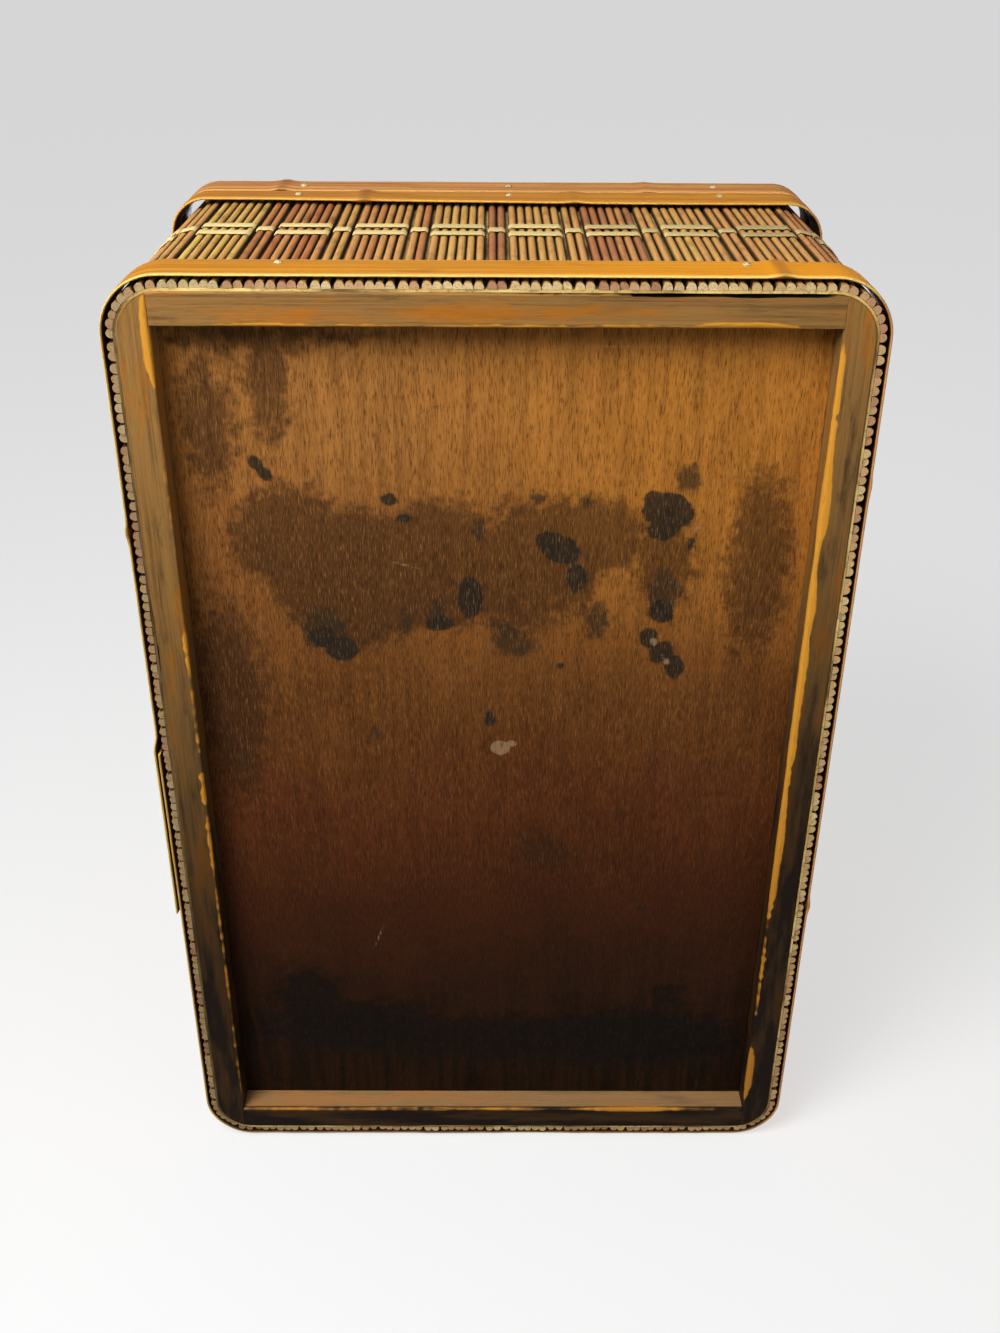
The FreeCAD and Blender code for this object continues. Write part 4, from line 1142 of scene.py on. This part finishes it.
class TAMBOUR_OT_wall_reeds(bpy.types.Operator):
    """Build the upright reeds of the walls, each with its own width, lean and tone"""

    bl_idname = "tambour.wall_reeds"
    bl_label = "Wall Reeds"

    def execute(self, context):
        sizes, finishes = context.scene.tambour_sizes, context.scene.tambour_finishes
        random = np.random.default_rng(2)
        line, groups, pitch = wall_groups(sizes)
        materials = [reed_finish(finishes), reed_end_finish()]
        half_unit = (groups[1][1] - groups[0][1]) / 2
        centres, group_tones, walls = [], [], []
        for count, centre in groups:
            place = line.at(centre, 0.0)
            wall = int(wall_of(place, sizes))
            centres += [centre + (n - (count - 1) / 2) * pitch for n in range(count)]
            order = len(FRONT_TONES) // 2 - round(float(place[0]) / half_unit)
            tone = random.uniform(0.3, 0.75)
            if WALLS[wall] == "front" and 0 <= order < len(FRONT_TONES):
                tone = FRONT_TONES[order]
            group_tones += [tone] * count
            walls += [wall] * count
        centres, walls = np.array(centres), np.array(walls)
        total = len(centres)
        tone = np.clip(np.array(group_tones) + random.uniform(-0.17, 0.17, total), 0.0, 1.0)
        width = sizes.reed_width * random.uniform(0.97, 1.045, total)
        depth = sizes.reed_depth * random.uniform(0.74, 0.84, total)
        lean = random.uniform(-0.22, 0.22, (total, 1)) * MM
        bottom = (0.5 + 0.9 * random.random(total) ** 2) * MM
        top = sizes.box_top - (0.8 + 0.5 * random.random(total)) * MM
        share = np.array([0.0, 0.004, 0.12, 0.3, 0.5, 0.7, 0.88, 0.996, 1.0])
        level = bottom[:, None] + (top - bottom)[:, None] * share
        # the cut lower ends are a little bruised and spread
        spread = np.array([1.03, 1.06, 1.02, 1.0, 1.0, 1.0, 1.0, 1.0, 0.97])
        side, out = reed_profile(width[:, None] * spread, depth[:, None] * np.minimum(spread, 1.0))
        bow = lean * (share - 0.5) * 2
        bow = bow + 0.08 * MM * eased_noise(level + 3 * centres[:, None], 45 * MM, 61)
        base = -sizes.reed_depth / 2
        along = centres[:, None, None] + side + bow[..., None]
        flat = line.at(along, base + out)
        rings = raised(flat, np.broadcast_to(level[..., None], along.shape))
        # crown, the share of the reed's depth, sets the painted shade on its flanks
        crown = np.broadcast_to(out / depth[:, None, None], along.shape)
        grain = np.stack(
            [np.broadcast_to(level[..., None], along.shape), along, out + 0 * along], axis=-1
        )
        tones = np.broadcast_to(tone[:, None, None], along.shape)
        for number, wall in enumerate(WALLS):
            chosen = walls == number
            piece = add_piece(
                f"wall_reeds_{wall}",
                rings[chosen],
                materials,
                tone=tones[chosen],
                crown=crown[chosen],
                grain=grain[chosen],
            )
            settle(piece, "box", "split_reed", f"reeds_{wall}")
        return {"FINISHED"}


def tie_path(count, pitch, width, depth, thickness, bent):
    """The middle line of a tie over a group: how far along and how far out.

    It starts on the outer reed's flank, follows the reed's circle through an angle to the
    crown, crosses the crowns with a slight dip between them, and ends the same way.
    """
    reach = (count - 1) / 2 * pitch + width / 2
    radius = width / 2 + thickness / 2 + GLUE_GAP
    turn = math.pi / 2 + np.linspace(math.radians(bent), 0.0, 5)
    rise_along = -reach + width / 2 + radius * np.cos(turn)
    rise_out = depth - width / 2 + radius * np.sin(turn)
    inner = np.linspace(rise_along[-1], -rise_along[-1], 2 * count - 1)[1:-1]
    dip = np.where(np.arange(len(inner)) % 2 == 0, 0.12 * MM, 0.0)
    along = np.concatenate([rise_along, inner, -rise_along[::-1]])
    out = np.concatenate([rise_out, rise_out[-1] - dip, rise_out[::-1]])
    return along, out


def tie_rings(along, out, thickness, width):
    """A ribbon's sections along a line: offsets along the line's normal and across it.

    Returns how far along, how far out and how far across each corner lies.
    """
    run, rise = np.gradient(along), np.gradient(out)
    length = np.hypot(run, rise)
    normal = np.stack([-rise / length, run / length], axis=-1)
    half, thin, bevel = width / 2, thickness / 2, 0.12 * width
    lift = np.array([-thin, -thin, 0.0, thin, thin, 0.0])
    across = np.array([bevel - half, half - bevel, half, half - bevel, bevel - half, -half])
    return (
        along[:, None] + normal[:, :1] * lift,
        out[:, None] + normal[:, 1:] * lift,
        np.broadcast_to(across, (len(along), 6)),
    )


class TAMBOUR_OT_cane_ties(bpy.types.Operator):
    """Build the cane ties: two over each wide group of wall reeds and one over each narrow"""

    bl_idname = "tambour.cane_ties"
    bl_label = "Cane Ties"

    def execute(self, context):
        sizes, finishes = context.scene.tambour_sizes, context.scene.tambour_finishes
        random = np.random.default_rng(3)
        line, groups, pitch = wall_groups(sizes)
        material = cane_finish(finishes)
        back = -sizes.reed_depth / 2
        for number, wall in enumerate(WALLS):
            for count in (sizes.wide_group, sizes.narrow_group):
                centres = [
                    centre
                    for size, centre in groups
                    if size == count and int(wall_of(line.at(centre, 0.0), sizes)) == number
                ]
                wide = count == sizes.wide_group
                spread = sizes.tie_spacing / 2 if wide else 0.0
                shifts = [-spread, spread] if wide else [0.0]
                places = np.array([(c, s) for c in centres for s in shifts])
                path = tie_path(
                    count,
                    pitch,
                    sizes.reed_width,
                    0.84 * sizes.reed_depth,
                    0.9 * sizes.tie_thickness,
                    WALL_TIE_TURN,
                )
                along, out, across = tie_rings(*path, 0.9 * sizes.tie_thickness, sizes.tie_width)
                shape = (len(places), *along.shape)
                slip = random.uniform(-0.45, 0.45, (len(places), 1, 1)) * MM
                tilt = random.uniform(-0.02, 0.02, (len(places), 1, 1))
                narrowing = random.uniform(0.85, 1.0, (len(places), 1, 1))
                flat = line.at(places[:, 0][:, None, None] + along, back + out)
                level = sizes.tie_level + places[:, 1][:, None, None] + slip
                level = level + across * narrowing + tilt * along
                # the ties grow duller towards -X
                tone = 0.35 - 0.5 * flat[..., 0] / (sizes.half_opening_width + sizes.board)
                tone = np.clip(tone + random.uniform(-0.15, 0.15, (len(places), 1, 1)), 0.0, 1.0)
                grain = np.stack(
                    [
                        np.broadcast_to(along + 7 * places[:, :1, None], shape),
                        np.broadcast_to(across, shape),
                        np.broadcast_to(out, shape),
                    ],
                    axis=-1,
                )
                label = "wide" if wide else "narrow"
                piece = add_piece(
                    f"wall_ties_{label}_{wall}",
                    raised(flat, level),
                    [material],
                    tone=tone,
                    grain=grain,
                )
                settle(piece, "box", "cane", f"cane_ties_{wall}")
        return {"FINISHED"}


# The bamboo bands

# a band's section: shares of its thickness outwards and of its width upwards
BAND_SECTION = np.array(
    [
        (0.0, 0.28),
        (0.0, 0.5),
        (0.0, 0.86),
        (0.25, 0.985),
        (0.5, 1.0),
        (0.78, 0.985),
        (0.93, 0.93),
        (0.99, 0.72),
        (1.0, 0.5),
        (0.99, 0.28),
        (0.93, 0.07),
        (0.82, 0.012),
        (0.62, 0.0),
        (0.42, 0.012),
        (0.32, 0.04),
    ]
)
# how far each point lies on the pale edges, which carry a painted highlight, and how far on the inner
# face, which gets painted shade
BAND_RIM = np.array([0, 0, 0.3, 0.9, 1.0, 1.0, 0.75, 0, 0, 0, 0.7, 1.0, 1.0, 1.0, 0])
BAND_INSIDE = np.array([1.0, 1.0, 1.0, 0.6, 0, 0, 0, 0, 0, 0, 0, 0, 0, 0, 1.0])


def band_piece(name, line, start, turn, lap, bottom, width, thick, joints, seed, material, trim):
    """A bamboo strip wound once round the box, its last stretch lying over its first.

    The strip's distance along the line is start + turn * t for t from 0 to the line's length
    plus the lap. It rises by its own thickness just before t reaches the length, its edges
    waver, and at each joint of the bamboo it swells as exp(-(t / 3.2 mm)^2).
    """
    total = line.length + lap
    t = np.linspace(0.0, total, BAND_SECTIONS)
    lift = (thick + 0.05 * MM) * stepped(t, line.length - 9 * MM, line.length - 0.8 * MM)
    lift = lift + 0.08 * MM * stepped(t, total - 16 * MM, total)
    swell = np.zeros_like(t)
    for joint, strength in joints:
        swell += strength * np.exp(-(((t - joint) / (3.2 * MM)) ** 2))
    section_out, section_up = BAND_SECTION[:, 0], BAND_SECTION[:, 1]
    out = lift[:, None] + thick * section_out
    out = out + 0.75 * MM * swell[:, None] * (section_out > 0.4)
    low = 0.22 * MM * (1 + eased_noise(t, 33 * MM, seed)) * 0.8
    low += 0.1 * MM * eased_noise(t, 6 * MM, seed + 1)
    high = 0.26 * MM * (1 + eased_noise(t, 41 * MM, seed + 2))
    high += 0.1 * MM * eased_noise(t, 7 * MM, seed + 3)
    for middle, reach, depth in trim:
        low += depth * np.exp(-(((t - middle) / reach) ** 2))
    high = np.maximum(high, 0.0)
    low, high = low * (1 - 0.8 * swell), high * (1 - 0.8 * swell)
    tall = width - low - high
    up = bottom + low[:, None] + tall[:, None] * section_up
    flat = line.at((start + turn * t)[:, None], out)
    uv = np.stack([np.broadcast_to(t[:, None], up.shape), up - bottom], axis=-1)
    return add_piece(
        name,
        raised(flat, up)[None],
        [material],
        uv=uv,
        rim=BAND_RIM[None, None],
        inside=BAND_INSIDE[None, None],
        joint=swell[None, :, None],
    )


class TAMBOUR_OT_bands(bpy.types.Operator):
    """Build the bottom band and the two rim bands, each a lapped strip of split bamboo"""

    bl_idname = "tambour.bands"
    bl_label = "Bands"

    def execute(self, context):
        sizes, finishes = context.scene.tambour_sizes, context.scene.tambour_finishes
        front = GLUE_GAP + sizes.liner + REED_GAP + sizes.reed_depth
        half_x = sizes.half_opening_width + sizes.board
        half_y = sizes.half_opening_length + sizes.board
        thick = sizes.band - BAND_SLACK
        low_line = Outline(
            half_x + front + GLUE_GAP, half_y + front + GLUE_GAP, sizes.corner + front + GLUE_GAP
        )
        # the rim's corners are tighter, so that it stands off the reeds there
        out = front + RIM_STAND_OFF
        tight = sizes.corner + out - RIM_CORNER_GAP / (math.sqrt(2) - 1)
        rim_line = Outline(half_x + out, half_y + out, tight)
        amber = bamboo_finish(
            "amber_bamboo",
            tuple(finishes.band_amber),
            "#B87420",
            "#ECCC74",
            0.9,
        )
        middle = bamboo_finish(
            "rim_bamboo",
            hex_colour("#DE9630"),
            "#A86424",
            "#E8B450",
            0.3,
        )
        red = bamboo_finish(
            "red_bamboo",
            tuple(finishes.band_red),
            "#AC6A36",
            "#DCA45C",
            0.1,
        )
        start = low_line.beside(BOTTOM_LAP_START, 1)

        def low_at(distance):
            return (start - distance) % low_line.length

        joints = [
            (low_at(89.8 * MM), 1.0),
            (low_at(low_line.beside(102 * MM, 1)), 0.9),
            (low_at(low_line.beside(-60 * MM, -1)), 0.9),
            (low_at(low_line.beside(120 * MM, -1)), 0.5),
        ]
        piece = band_piece(
            "band_bottom",
            low_line,
            start,
            -1.0,
            BOTTOM_LAP,
            BAND_LIFT,
            sizes.bottom_band,
            thick,
            joints,
            71,
            amber,
            [],
        )
        settle(piece, "box", "bamboo_band", "bottom_band")
        rim_start = rim_line.beside(RIM_LAP_START, -1)

        def rim_at(x):
            distance = rim_line.length - x * MM if x > 0 else -x * MM
            return (rim_start - distance) % rim_line.length

        upper_bottom = sizes.box_top - sizes.rim_band
        lower_bottom = upper_bottom - RIM_STRIP_GAP - sizes.rim_band
        narrow = [(rim_at(112.0), 90 * MM, 4.5 * MM), (rim_at(-70.0), 60 * MM, -1.2 * MM)]
        rims = [
            ("band_rim_lower", lower_bottom, [(51.0, 1.0), (-30.0, 0.6)], 81, middle, narrow),
            ("band_rim_upper", upper_bottom, [(85.0, 1.0), (-60.0, 0.5)], 91, red, []),
        ]
        for name, bottom, marks, seed, material, trim in rims:
            piece = band_piece(
                name,
                rim_line,
                rim_start,
                -1.0,
                RIM_LAP,
                bottom,
                sizes.rim_band,
                thick,
                [(rim_at(x), strength) for x, strength in marks],
                seed,
                material,
                trim,
            )
            settle(piece, "box", "bamboo_band", name.replace("band_rim", "rim_band"))
        return {"FINISHED"}


class TAMBOUR_OT_fixings(bpy.types.Operator):
    """Give the tacks, nails, screw and hems, which keep their shapes, their materials"""

    bl_idname = "tambour.fixings"
    bl_label = "Fixings"

    def execute(self, context):
        finishes = context.scene.tambour_finishes
        brass = metal_finish("dulled_brass", tuple(finishes.brass), "#7A5A36", 0.45)
        iron = metal_finish("oxidised_iron", hex_colour("#55504C"), "#3A241A", 0.5)
        cloth = cloth_finish(finishes)
        dressed = {
            "bottom_tacks": brass,
            "rim_tacks_lower": brass,
            "rim_tacks_upper": brass,
            "lid_rail_nails": brass,
            "knob_screw": brass,
            "board_nails": iron,
            "lid_cloth_back_hem": cloth,
            "lid_cloth_lead_hem": cloth,
        }
        for name, material in dressed.items():
            node = frame["nodes"][name]
            node.data.materials.clear()
            node.data.materials.append(material)
        return {"FINISHED"}


# The lid


def lid_spans(sizes):
    """Each slat's reed count and where it starts and ends along Y, and the reed pitch."""
    end = sizes.half_opening_length + sizes.board - LID_SIDE_GAP
    counts = [sizes.wide_group, sizes.narrow_group] * sizes.lid_units + [sizes.wide_group]
    free = 2 * (end - sizes.rail) - sizes.lid_gap
    pitch = (free - len(counts) * sizes.lid_gap) / sum(counts)
    widths = np.array([count * pitch + sizes.lid_gap for count in counts])
    starts = -end + sizes.rail + sizes.lid_gap / 2 + np.concatenate([[0.0], np.cumsum(widths)])
    return counts, starts, pitch


class TAMBOUR_OT_lid_mat(bpy.types.Operator):
    """Build the lid's mat: reeds across the box, their ties, and the cloth under them"""

    bl_idname = "tambour.lid_mat"
    bl_label = "Lid Mat"

    def execute(self, context):
        sizes, finishes = context.scene.tambour_sizes, context.scene.tambour_finishes
        random = np.random.default_rng(4)
        reed_materials = [reed_finish(finishes), reed_end_finish()]
        cane, cotton = cane_finish(finishes), cloth_finish(finishes)
        counts, starts, pitch = lid_spans(sizes)
        half = sizes.half_opening_width + sizes.board - LID_SIDE_GAP
        under = sizes.board_top + LID_REST_GAP
        over = under + sizes.cloth
        height = sizes.lid_reed_height
        shares = np.linspace(-1.0, 1.0, 9)
        bodies = [name for name in frame["bodies"] if name.startswith("mat_")]
        for unit, body in enumerate(sorted(bodies)):
            numbers = [n for n in (2 * unit, 2 * unit + 1) if n < len(counts)]
            nodes = [f"lid_slat_{n + 1:02d}" for n in numbers]
            middles, tone = [], []
            for n in numbers:
                first = starts[n] + sizes.lid_gap / 2 + pitch / 2
                middles += [first + k * pitch for k in range(counts[n])]
                tone += [random.uniform(0.35, 0.7)] * counts[n]
            middles = np.array(middles)
            total = len(middles)
            tone = np.clip(np.array(tone) + random.uniform(-0.3, 0.3, total), 0.0, 1.0)
            width = (pitch - LID_REED_GAP) * random.uniform(0.95, 1.0, total)
            tall = height * random.uniform(0.93, 1.0, total)
            reach = half - 0.4 * MM * random.random((total, 2))
            x = np.where(shares < 0, shares * reach[:, :1], shares * reach[:, 1:])
            ends = np.array([0.92, 1, 1, 1, 1, 1, 1, 1, 0.92])
            side, out = reed_profile(width[:, None] * ends, tall[:, None] * ends)
            out = np.maximum(out, 0.0)
            bow = 0.05 * MM * eased_noise(x + middles[:, None] * 9, 60 * MM, 111)
            y = middles[:, None, None] + side + bow[..., None]
            rings = np.stack([np.broadcast_to(x[..., None], y.shape), y, over + out], axis=-1)
            # crown sets the painted shade on the lid reeds' flanks, milder than on the walls
            crown = np.broadcast_to(0.35 + 0.65 * out / height, y.shape)
            grain = np.stack([rings[..., 0], y, out + 0 * y], axis=-1)
            piece = add_piece(
                f"lid_reeds_{unit + 1:02d}",
                rings,
                reed_materials,
                tone=np.broadcast_to(tone[:, None, None], y.shape),
                crown=crown,
                grain=grain,
            )
            settle(piece, body, "split_reed", *nodes)
            for n in numbers:
                wide = counts[n] == sizes.wide_group
                spread = sizes.tie_spacing / 2
                shifts = [-spread, spread] if wide else [0.0]
                stations = [-1.0, 0.0, 1.0]
                places = np.array([s * (half - LID_TIE_INSET) + d for s in stations for d in shifts])
                thickness = 0.8 * sizes.tie_thickness
                slim = pitch - LID_REED_GAP
                path = tie_path(counts[n], pitch, slim, height, thickness, LID_TIE_TURN)
                along, out, across = tie_rings(*path, thickness, sizes.tie_width)
                out = np.maximum(out, 0.05 * MM)
                middle = starts[n] + sizes.lid_gap / 2 + counts[n] * pitch / 2
                slip = random.uniform(-0.4, 0.4, (len(places), 1, 1)) * MM
                x = places[:, None, None] + slip + across
                y = np.broadcast_to(middle + along, x.shape)
                z = np.broadcast_to(over + out, x.shape)
                grain = np.stack([y, x, z], axis=-1)
                piece = add_piece(
                    f"lid_ties_{n + 1:02d}",
                    np.stack([x, y, z], axis=-1),
                    [cane],
                    tone=np.broadcast_to(random.random((len(places), 1, 1)), x.shape),
                    grain=grain,
                )
                settle(piece, body, "cane", f"lid_slat_{n + 1:02d}")
        # the cloth: one stretch from the middle of each unit to the next, with close rows about the
        # hinge line
        lines = [starts[n] for n in range(0, len(counts), 2)] + [starts[-1]]
        bend = 0.4 * MM
        for number, line in enumerate(lines):
            low = (lines[number - 1] + line) / 2 if number else line - bend
            high = (line + lines[number + 1]) / 2 if number < len(lines) - 1 else line + bend
            steps = np.linspace(-bend, bend, 7)
            y = np.unique(np.concatenate([[low, high], line + steps]).round(7))
            x = np.linspace(-half, half, CLOTH_COLUMNS)
            x = np.concatenate([x, np.linspace(half, -half, CLOTH_COLUMNS)])
            z = np.repeat([under, over], CLOTH_COLUMNS)
            grid = np.broadcast_arrays(x[None], y[:, None], z[None])
            piece = add_piece(
                f"lid_cloth_{number + 1:02d}", np.stack(grid, axis=-1)[None], [cotton]
            )
            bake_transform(piece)
            near = min(number, len(bodies) - 1)
            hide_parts(f"lid_slat_{2 * near + 1:02d}")
        return {"FINISHED"}


def rail_rings(x, near, far, corner, bottom, height):
    """A rail's cross sections along X: an upright rectangle with its top arrises rounded.

    Past the start of the box's rounded corner the far edge draws in by r - sqrt(r^2 - d^2).
    """
    half, radius = np.abs(x).max(), corner
    past = np.maximum(np.abs(x) - (half - radius), 0.0)
    drawn = radius - np.sqrt(np.maximum(radius**2 - past**2, 0.0))
    reach = far - np.sign(far - near) * drawn
    near = np.full_like(reach, near)
    soft = 0.9 * MM
    shares = [
        (0.0, 0.0, 0.0),
        (0.0, 0.0, height - soft),
        (0.0, 0.3 * soft, height - 0.3 * soft),
        (0.0, soft, height),
        (0.5, 0.0, height),
        (1.0, -soft, height),
        (1.0, -0.3 * soft, height - 0.3 * soft),
        (1.0, 0.0, height - soft),
        (1.0, 0.0, 0.0),
    ]
    sign = np.sign(far - near)
    y = [near * (1 - share) + reach * share + sign * shift for share, shift, _ in shares]
    z = [np.full_like(reach, bottom + up) for _, _, up in shares]
    y, z = np.stack(y, axis=-1), np.stack(z, axis=-1)
    return np.stack([np.broadcast_to(x[:, None], y.shape), y, z], axis=-1)


class TAMBOUR_OT_lid_rails(bpy.types.Operator):
    """Build the lid's back rail and lead rail, with rounded and rubbed arrises"""

    bl_idname = "tambour.lid_rails"
    bl_label = "Lid Rails"

    def execute(self, context):
        sizes, finishes = context.scene.tambour_sizes, context.scene.tambour_finishes
        material = rail_finish(finishes)
        half = sizes.half_opening_width + sizes.board - LID_SIDE_GAP
        end = sizes.half_opening_length + sizes.board - LID_SIDE_GAP
        bottom = sizes.board_top + LID_REST_GAP + sizes.cloth
        curve = np.sin(np.linspace(-math.pi / 2, math.pi / 2, RAIL_SECTIONS))
        x = half * curve * 0.9999
        wear = np.array([0, 0.6, 1.0, 0.6, 0, 0.6, 1.0, 0.6, 0])
        for sign, name, body, node in (
            (-1.0, "rail_back", "box", "lid_back_rail"),
            (1.0, "rail_lead", "lead_rail", "lid_lead_rail"),
        ):
            rings = rail_rings(
                x,
                sign * (end - sizes.rail),
                sign * end,
                sizes.corner - 0.5 * MM,
                bottom,
                sizes.rail_height,
            )
            rub = 0.55 + 0.45 * eased_noise(x, 12 * MM, 121)[:, None]
            piece = add_piece(name, rings[None], [material], wear=(wear * rub)[None])
            settle(piece, body, "rail_wood", node)
        return {"FINISHED"}


class TAMBOUR_OT_pull_knob(bpy.types.Operator):
    """Build the small turned knob on the lead rail"""

    bl_idname = "tambour.pull_knob"
    bl_label = "Pull Knob"

    def execute(self, context):
        sizes, finishes = context.scene.tambour_sizes, context.scene.tambour_finishes
        material = rail_finish(finishes)
        low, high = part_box("pull_knob")
        middle = 0.5 * (np.array(low) + np.array(high))
        # radius and height as shares: a foot, a drawn-in neck and a domed head
        profile = np.array(
            [
                (0.02, 0.0),
                (0.78, 0.0),
                (0.8, 0.05),
                (0.68, 0.16),
                (0.56, 0.3),
                (0.56, 0.4),
                (0.7, 0.52),
                (0.93, 0.62),
                (1.0, 0.7),
                (0.98, 0.78),
                (0.86, 0.88),
                (0.6, 0.96),
                (0.3, 0.995),
                (0.02, 1.0),
            ]
        )
        radius = profile[:, :1] * sizes.knob_radius
        turn = np.linspace(0.0, 2 * math.pi, KNOB_CORNERS, endpoint=False)[None]
        z = low[2] + profile[:, 1:] * sizes.knob_height
        rings = np.stack(
            [
                middle[0] + radius * np.cos(turn),
                middle[1] + radius * np.sin(turn),
                np.broadcast_to(z, (len(profile), KNOB_CORNERS)),
            ],
            axis=-1,
        )
        wear = np.array([0, 0, 0.3, 0, 0, 0, 0, 0.3, 0.9, 0.8, 0.6, 0.5, 0.4, 0.3])
        piece = add_piece("knob", rings[None], [material], wear=wear[None, :, None])
        settle(piece, "lead_rail", "rail_wood", "pull_knob")
        return {"FINISHED"}


# The room


def one_sided_floor(name, corners):
    """A pale floor that only the camera sees, and only from the side that it faces."""
    material, tree = new_material(name)
    rays = tree.nodes.new("ShaderNodeLightPath")
    back = add(tree, "NewGeometry", out=6)
    face = add(tree, "Math", {0: 1.0, 1: back}, operation="SUBTRACT")
    seen = add(tree, "Math", {0: rays.outputs["Is Camera Ray"], 1: face}, operation="MULTIPLY")
    lit = add(tree, "BsdfDiffuse", {"Color": grey(0.35)})
    glow = add(tree, "Emission", {"Color": grey(1.0), "Strength": 0.6})
    plain = add(tree, "AddShader", {0: lit, 1: glow})
    clear = add(tree, "BsdfTransparent")
    mixed = add(tree, "MixShader", {0: seen, 1: clear, 2: plain})
    add(tree, "OutputMaterial", {"Surface": mixed})
    mesh = bpy.data.meshes.new(name)
    mesh.from_pydata(corners, [], [(0, 1, 2, 3)])
    mesh.materials.append(material)
    floor = bpy.data.objects.new(name, mesh)
    bpy.context.scene.collection.objects.link(floor)
    floor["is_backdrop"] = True


# The camera's place in metres and its axes, and its lens and sensor in millimetres
CAMERA_PLACE = (1.31 * MM, 295.37 * MM, -429.85 * MM)
CAMERA_RIGHT = (-0.99998, 0.00555, -0.00377)
CAMERA_UP = (0.00295, 0.86913, 0.49458)
CAMERA_FORWARD = (-0.00602, -0.49456, 0.86913)
LENS = 37.07
SENSOR = 36.0

# Each lamp: its place and its side in metres, and its power in watts
LAMPS = {
    "key": ((0.42, 0.72, -0.46), 0.5, 10.6),
    "fill": ((-0.7, 0.35, -0.6), 0.8, 1.2),
}

# Each soft sun for the sides that the lamps don't reach: where it stands, how wide it looks in
# degrees, and its power
SUNS = {
    "lid_key": ((-0.5, -0.5, 1.0), 40.0, 1.9),
    "lid_fill": ((0.9, -0.5, 0.6), 60.0, 0.7),
}


def place_light(scene, name, lamp, place):
    """Adds a light at a place, turned towards the origin and hidden from the camera."""
    light = bpy.data.objects.new(name, lamp)
    away = np.array(place) / np.linalg.norm(place)
    right = np.cross((0.0, 0.0, 1.0), away)
    right /= np.linalg.norm(right)
    turned = np.eye(4)
    turned[:3] = np.stack([right, np.cross(away, right), away, np.array(place)], axis=-1)
    light.matrix_world = Matrix(turned.tolist())
    light.visible_camera = False
    scene.collection.objects.link(light)


class TAMBOUR_OT_studio(bpy.types.Operator):
    """Set up the floors, the lamps, the pale room and the camera"""

    bl_idname = "tambour.studio"
    bl_label = "Studio"

    def execute(self, context):
        scene = context.scene
        wide = 40.0
        low_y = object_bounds()[0][1]
        one_sided_floor(
            "floor_stood_on_end",
            [(-wide, low_y, -wide), (-wide, low_y, wide), (wide, low_y, wide), (wide, low_y, -wide)],
        )
        one_sided_floor(
            "floor_flat",
            [(-wide, -wide, 0.0), (wide, -wide, 0.0), (wide, wide, 0.0), (-wide, wide, 0.0)],
        )
        for name, (place, side, watts) in LAMPS.items():
            lamp = bpy.data.lights.new(name, "AREA")
            lamp.size = side
            lamp.energy = watts
            place_light(scene, name, lamp, place)
        for name, (place, degrees, strength) in SUNS.items():
            lamp = bpy.data.lights.new(name, "SUN")
            lamp.angle = math.radians(degrees)
            lamp.energy = strength
            place_light(scene, name, lamp, place)
        world = bpy.data.worlds.new("pale_room")
        scene.world = world
        world.use_nodes = True
        tree = world.node_tree
        tree.nodes.clear()
        rays = tree.nodes.new("ShaderNodeLightPath")
        seen = add(
            tree,
            "Math",
            {0: rays.outputs["Is Camera Ray"], 1: rays.outputs["Is Transmission Ray"]},
            operation="MAXIMUM",
        )
        plain = add(tree, "Background", {"Color": grey(1.0), "Strength": 0.2})
        pale = add(tree, "Background", {"Color": grey(0.86), "Strength": 1.0})
        mixed = add(tree, "MixShader", {0: seen, 1: plain, 2: pale})
        add(tree, "OutputWorld", {"Surface": mixed})
        camera_data = bpy.data.cameras.new("camera")
        camera_data.lens = LENS
        camera_data.sensor_width = SENSOR
        camera_data.sensor_fit = "AUTO"
        camera_data.clip_start = 10 * MM
        camera = bpy.data.objects.new("camera", camera_data)
        back = [-share for share in CAMERA_FORWARD]
        rows = [
            [CAMERA_RIGHT[i], CAMERA_UP[i], back[i], CAMERA_PLACE[i]] for i in range(3)
        ]
        camera.matrix_world = Matrix([*rows, [0.0, 0.0, 0.0, 1.0]])
        scene.collection.objects.link(camera)
        scene.camera = camera
        scene.view_settings.view_transform = "Standard"
        return {"FINISHED"}


OPERATORS = (
    TAMBOUR_OT_boards,
    TAMBOUR_OT_panel,
    TAMBOUR_OT_liner,
    TAMBOUR_OT_wall_reeds,
    TAMBOUR_OT_cane_ties,
    TAMBOUR_OT_bands,
    TAMBOUR_OT_fixings,
    TAMBOUR_OT_lid_mat,
    TAMBOUR_OT_lid_rails,
    TAMBOUR_OT_pull_knob,
    TAMBOUR_OT_studio,
)


class TAMBOUR_PT_panel(bpy.types.Panel):
    """Lists the steps that build the box"""

    bl_label = "Tambour Box"
    bl_idname = "TAMBOUR_PT_panel"
    bl_space_type = "VIEW_3D"
    bl_region_type = "UI"
    bl_category = "Tambour Box"

    def draw(self, context):
        for operator in OPERATORS:
            self.layout.operator(operator.bl_idname)


CLASSES = (BoxSizes, BoxFinishes, *OPERATORS, TAMBOUR_PT_panel)


def register():
    for each in CLASSES:
        bpy.utils.register_class(each)
    bpy.types.Scene.tambour_sizes = PointerProperty(type=BoxSizes)
    bpy.types.Scene.tambour_finishes = PointerProperty(type=BoxFinishes)


def unregister():
    del bpy.types.Scene.tambour_finishes
    del bpy.types.Scene.tambour_sizes
    for each in reversed(CLASSES):
        bpy.utils.unregister_class(each)


def main():
    """Builds everything in order."""
    register()
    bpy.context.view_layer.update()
    for operator in OPERATORS:
        group, name = operator.bl_idname.split(".")
        getattr(getattr(bpy.ops, group), name)()


if __name__ == "__main__":
    main()
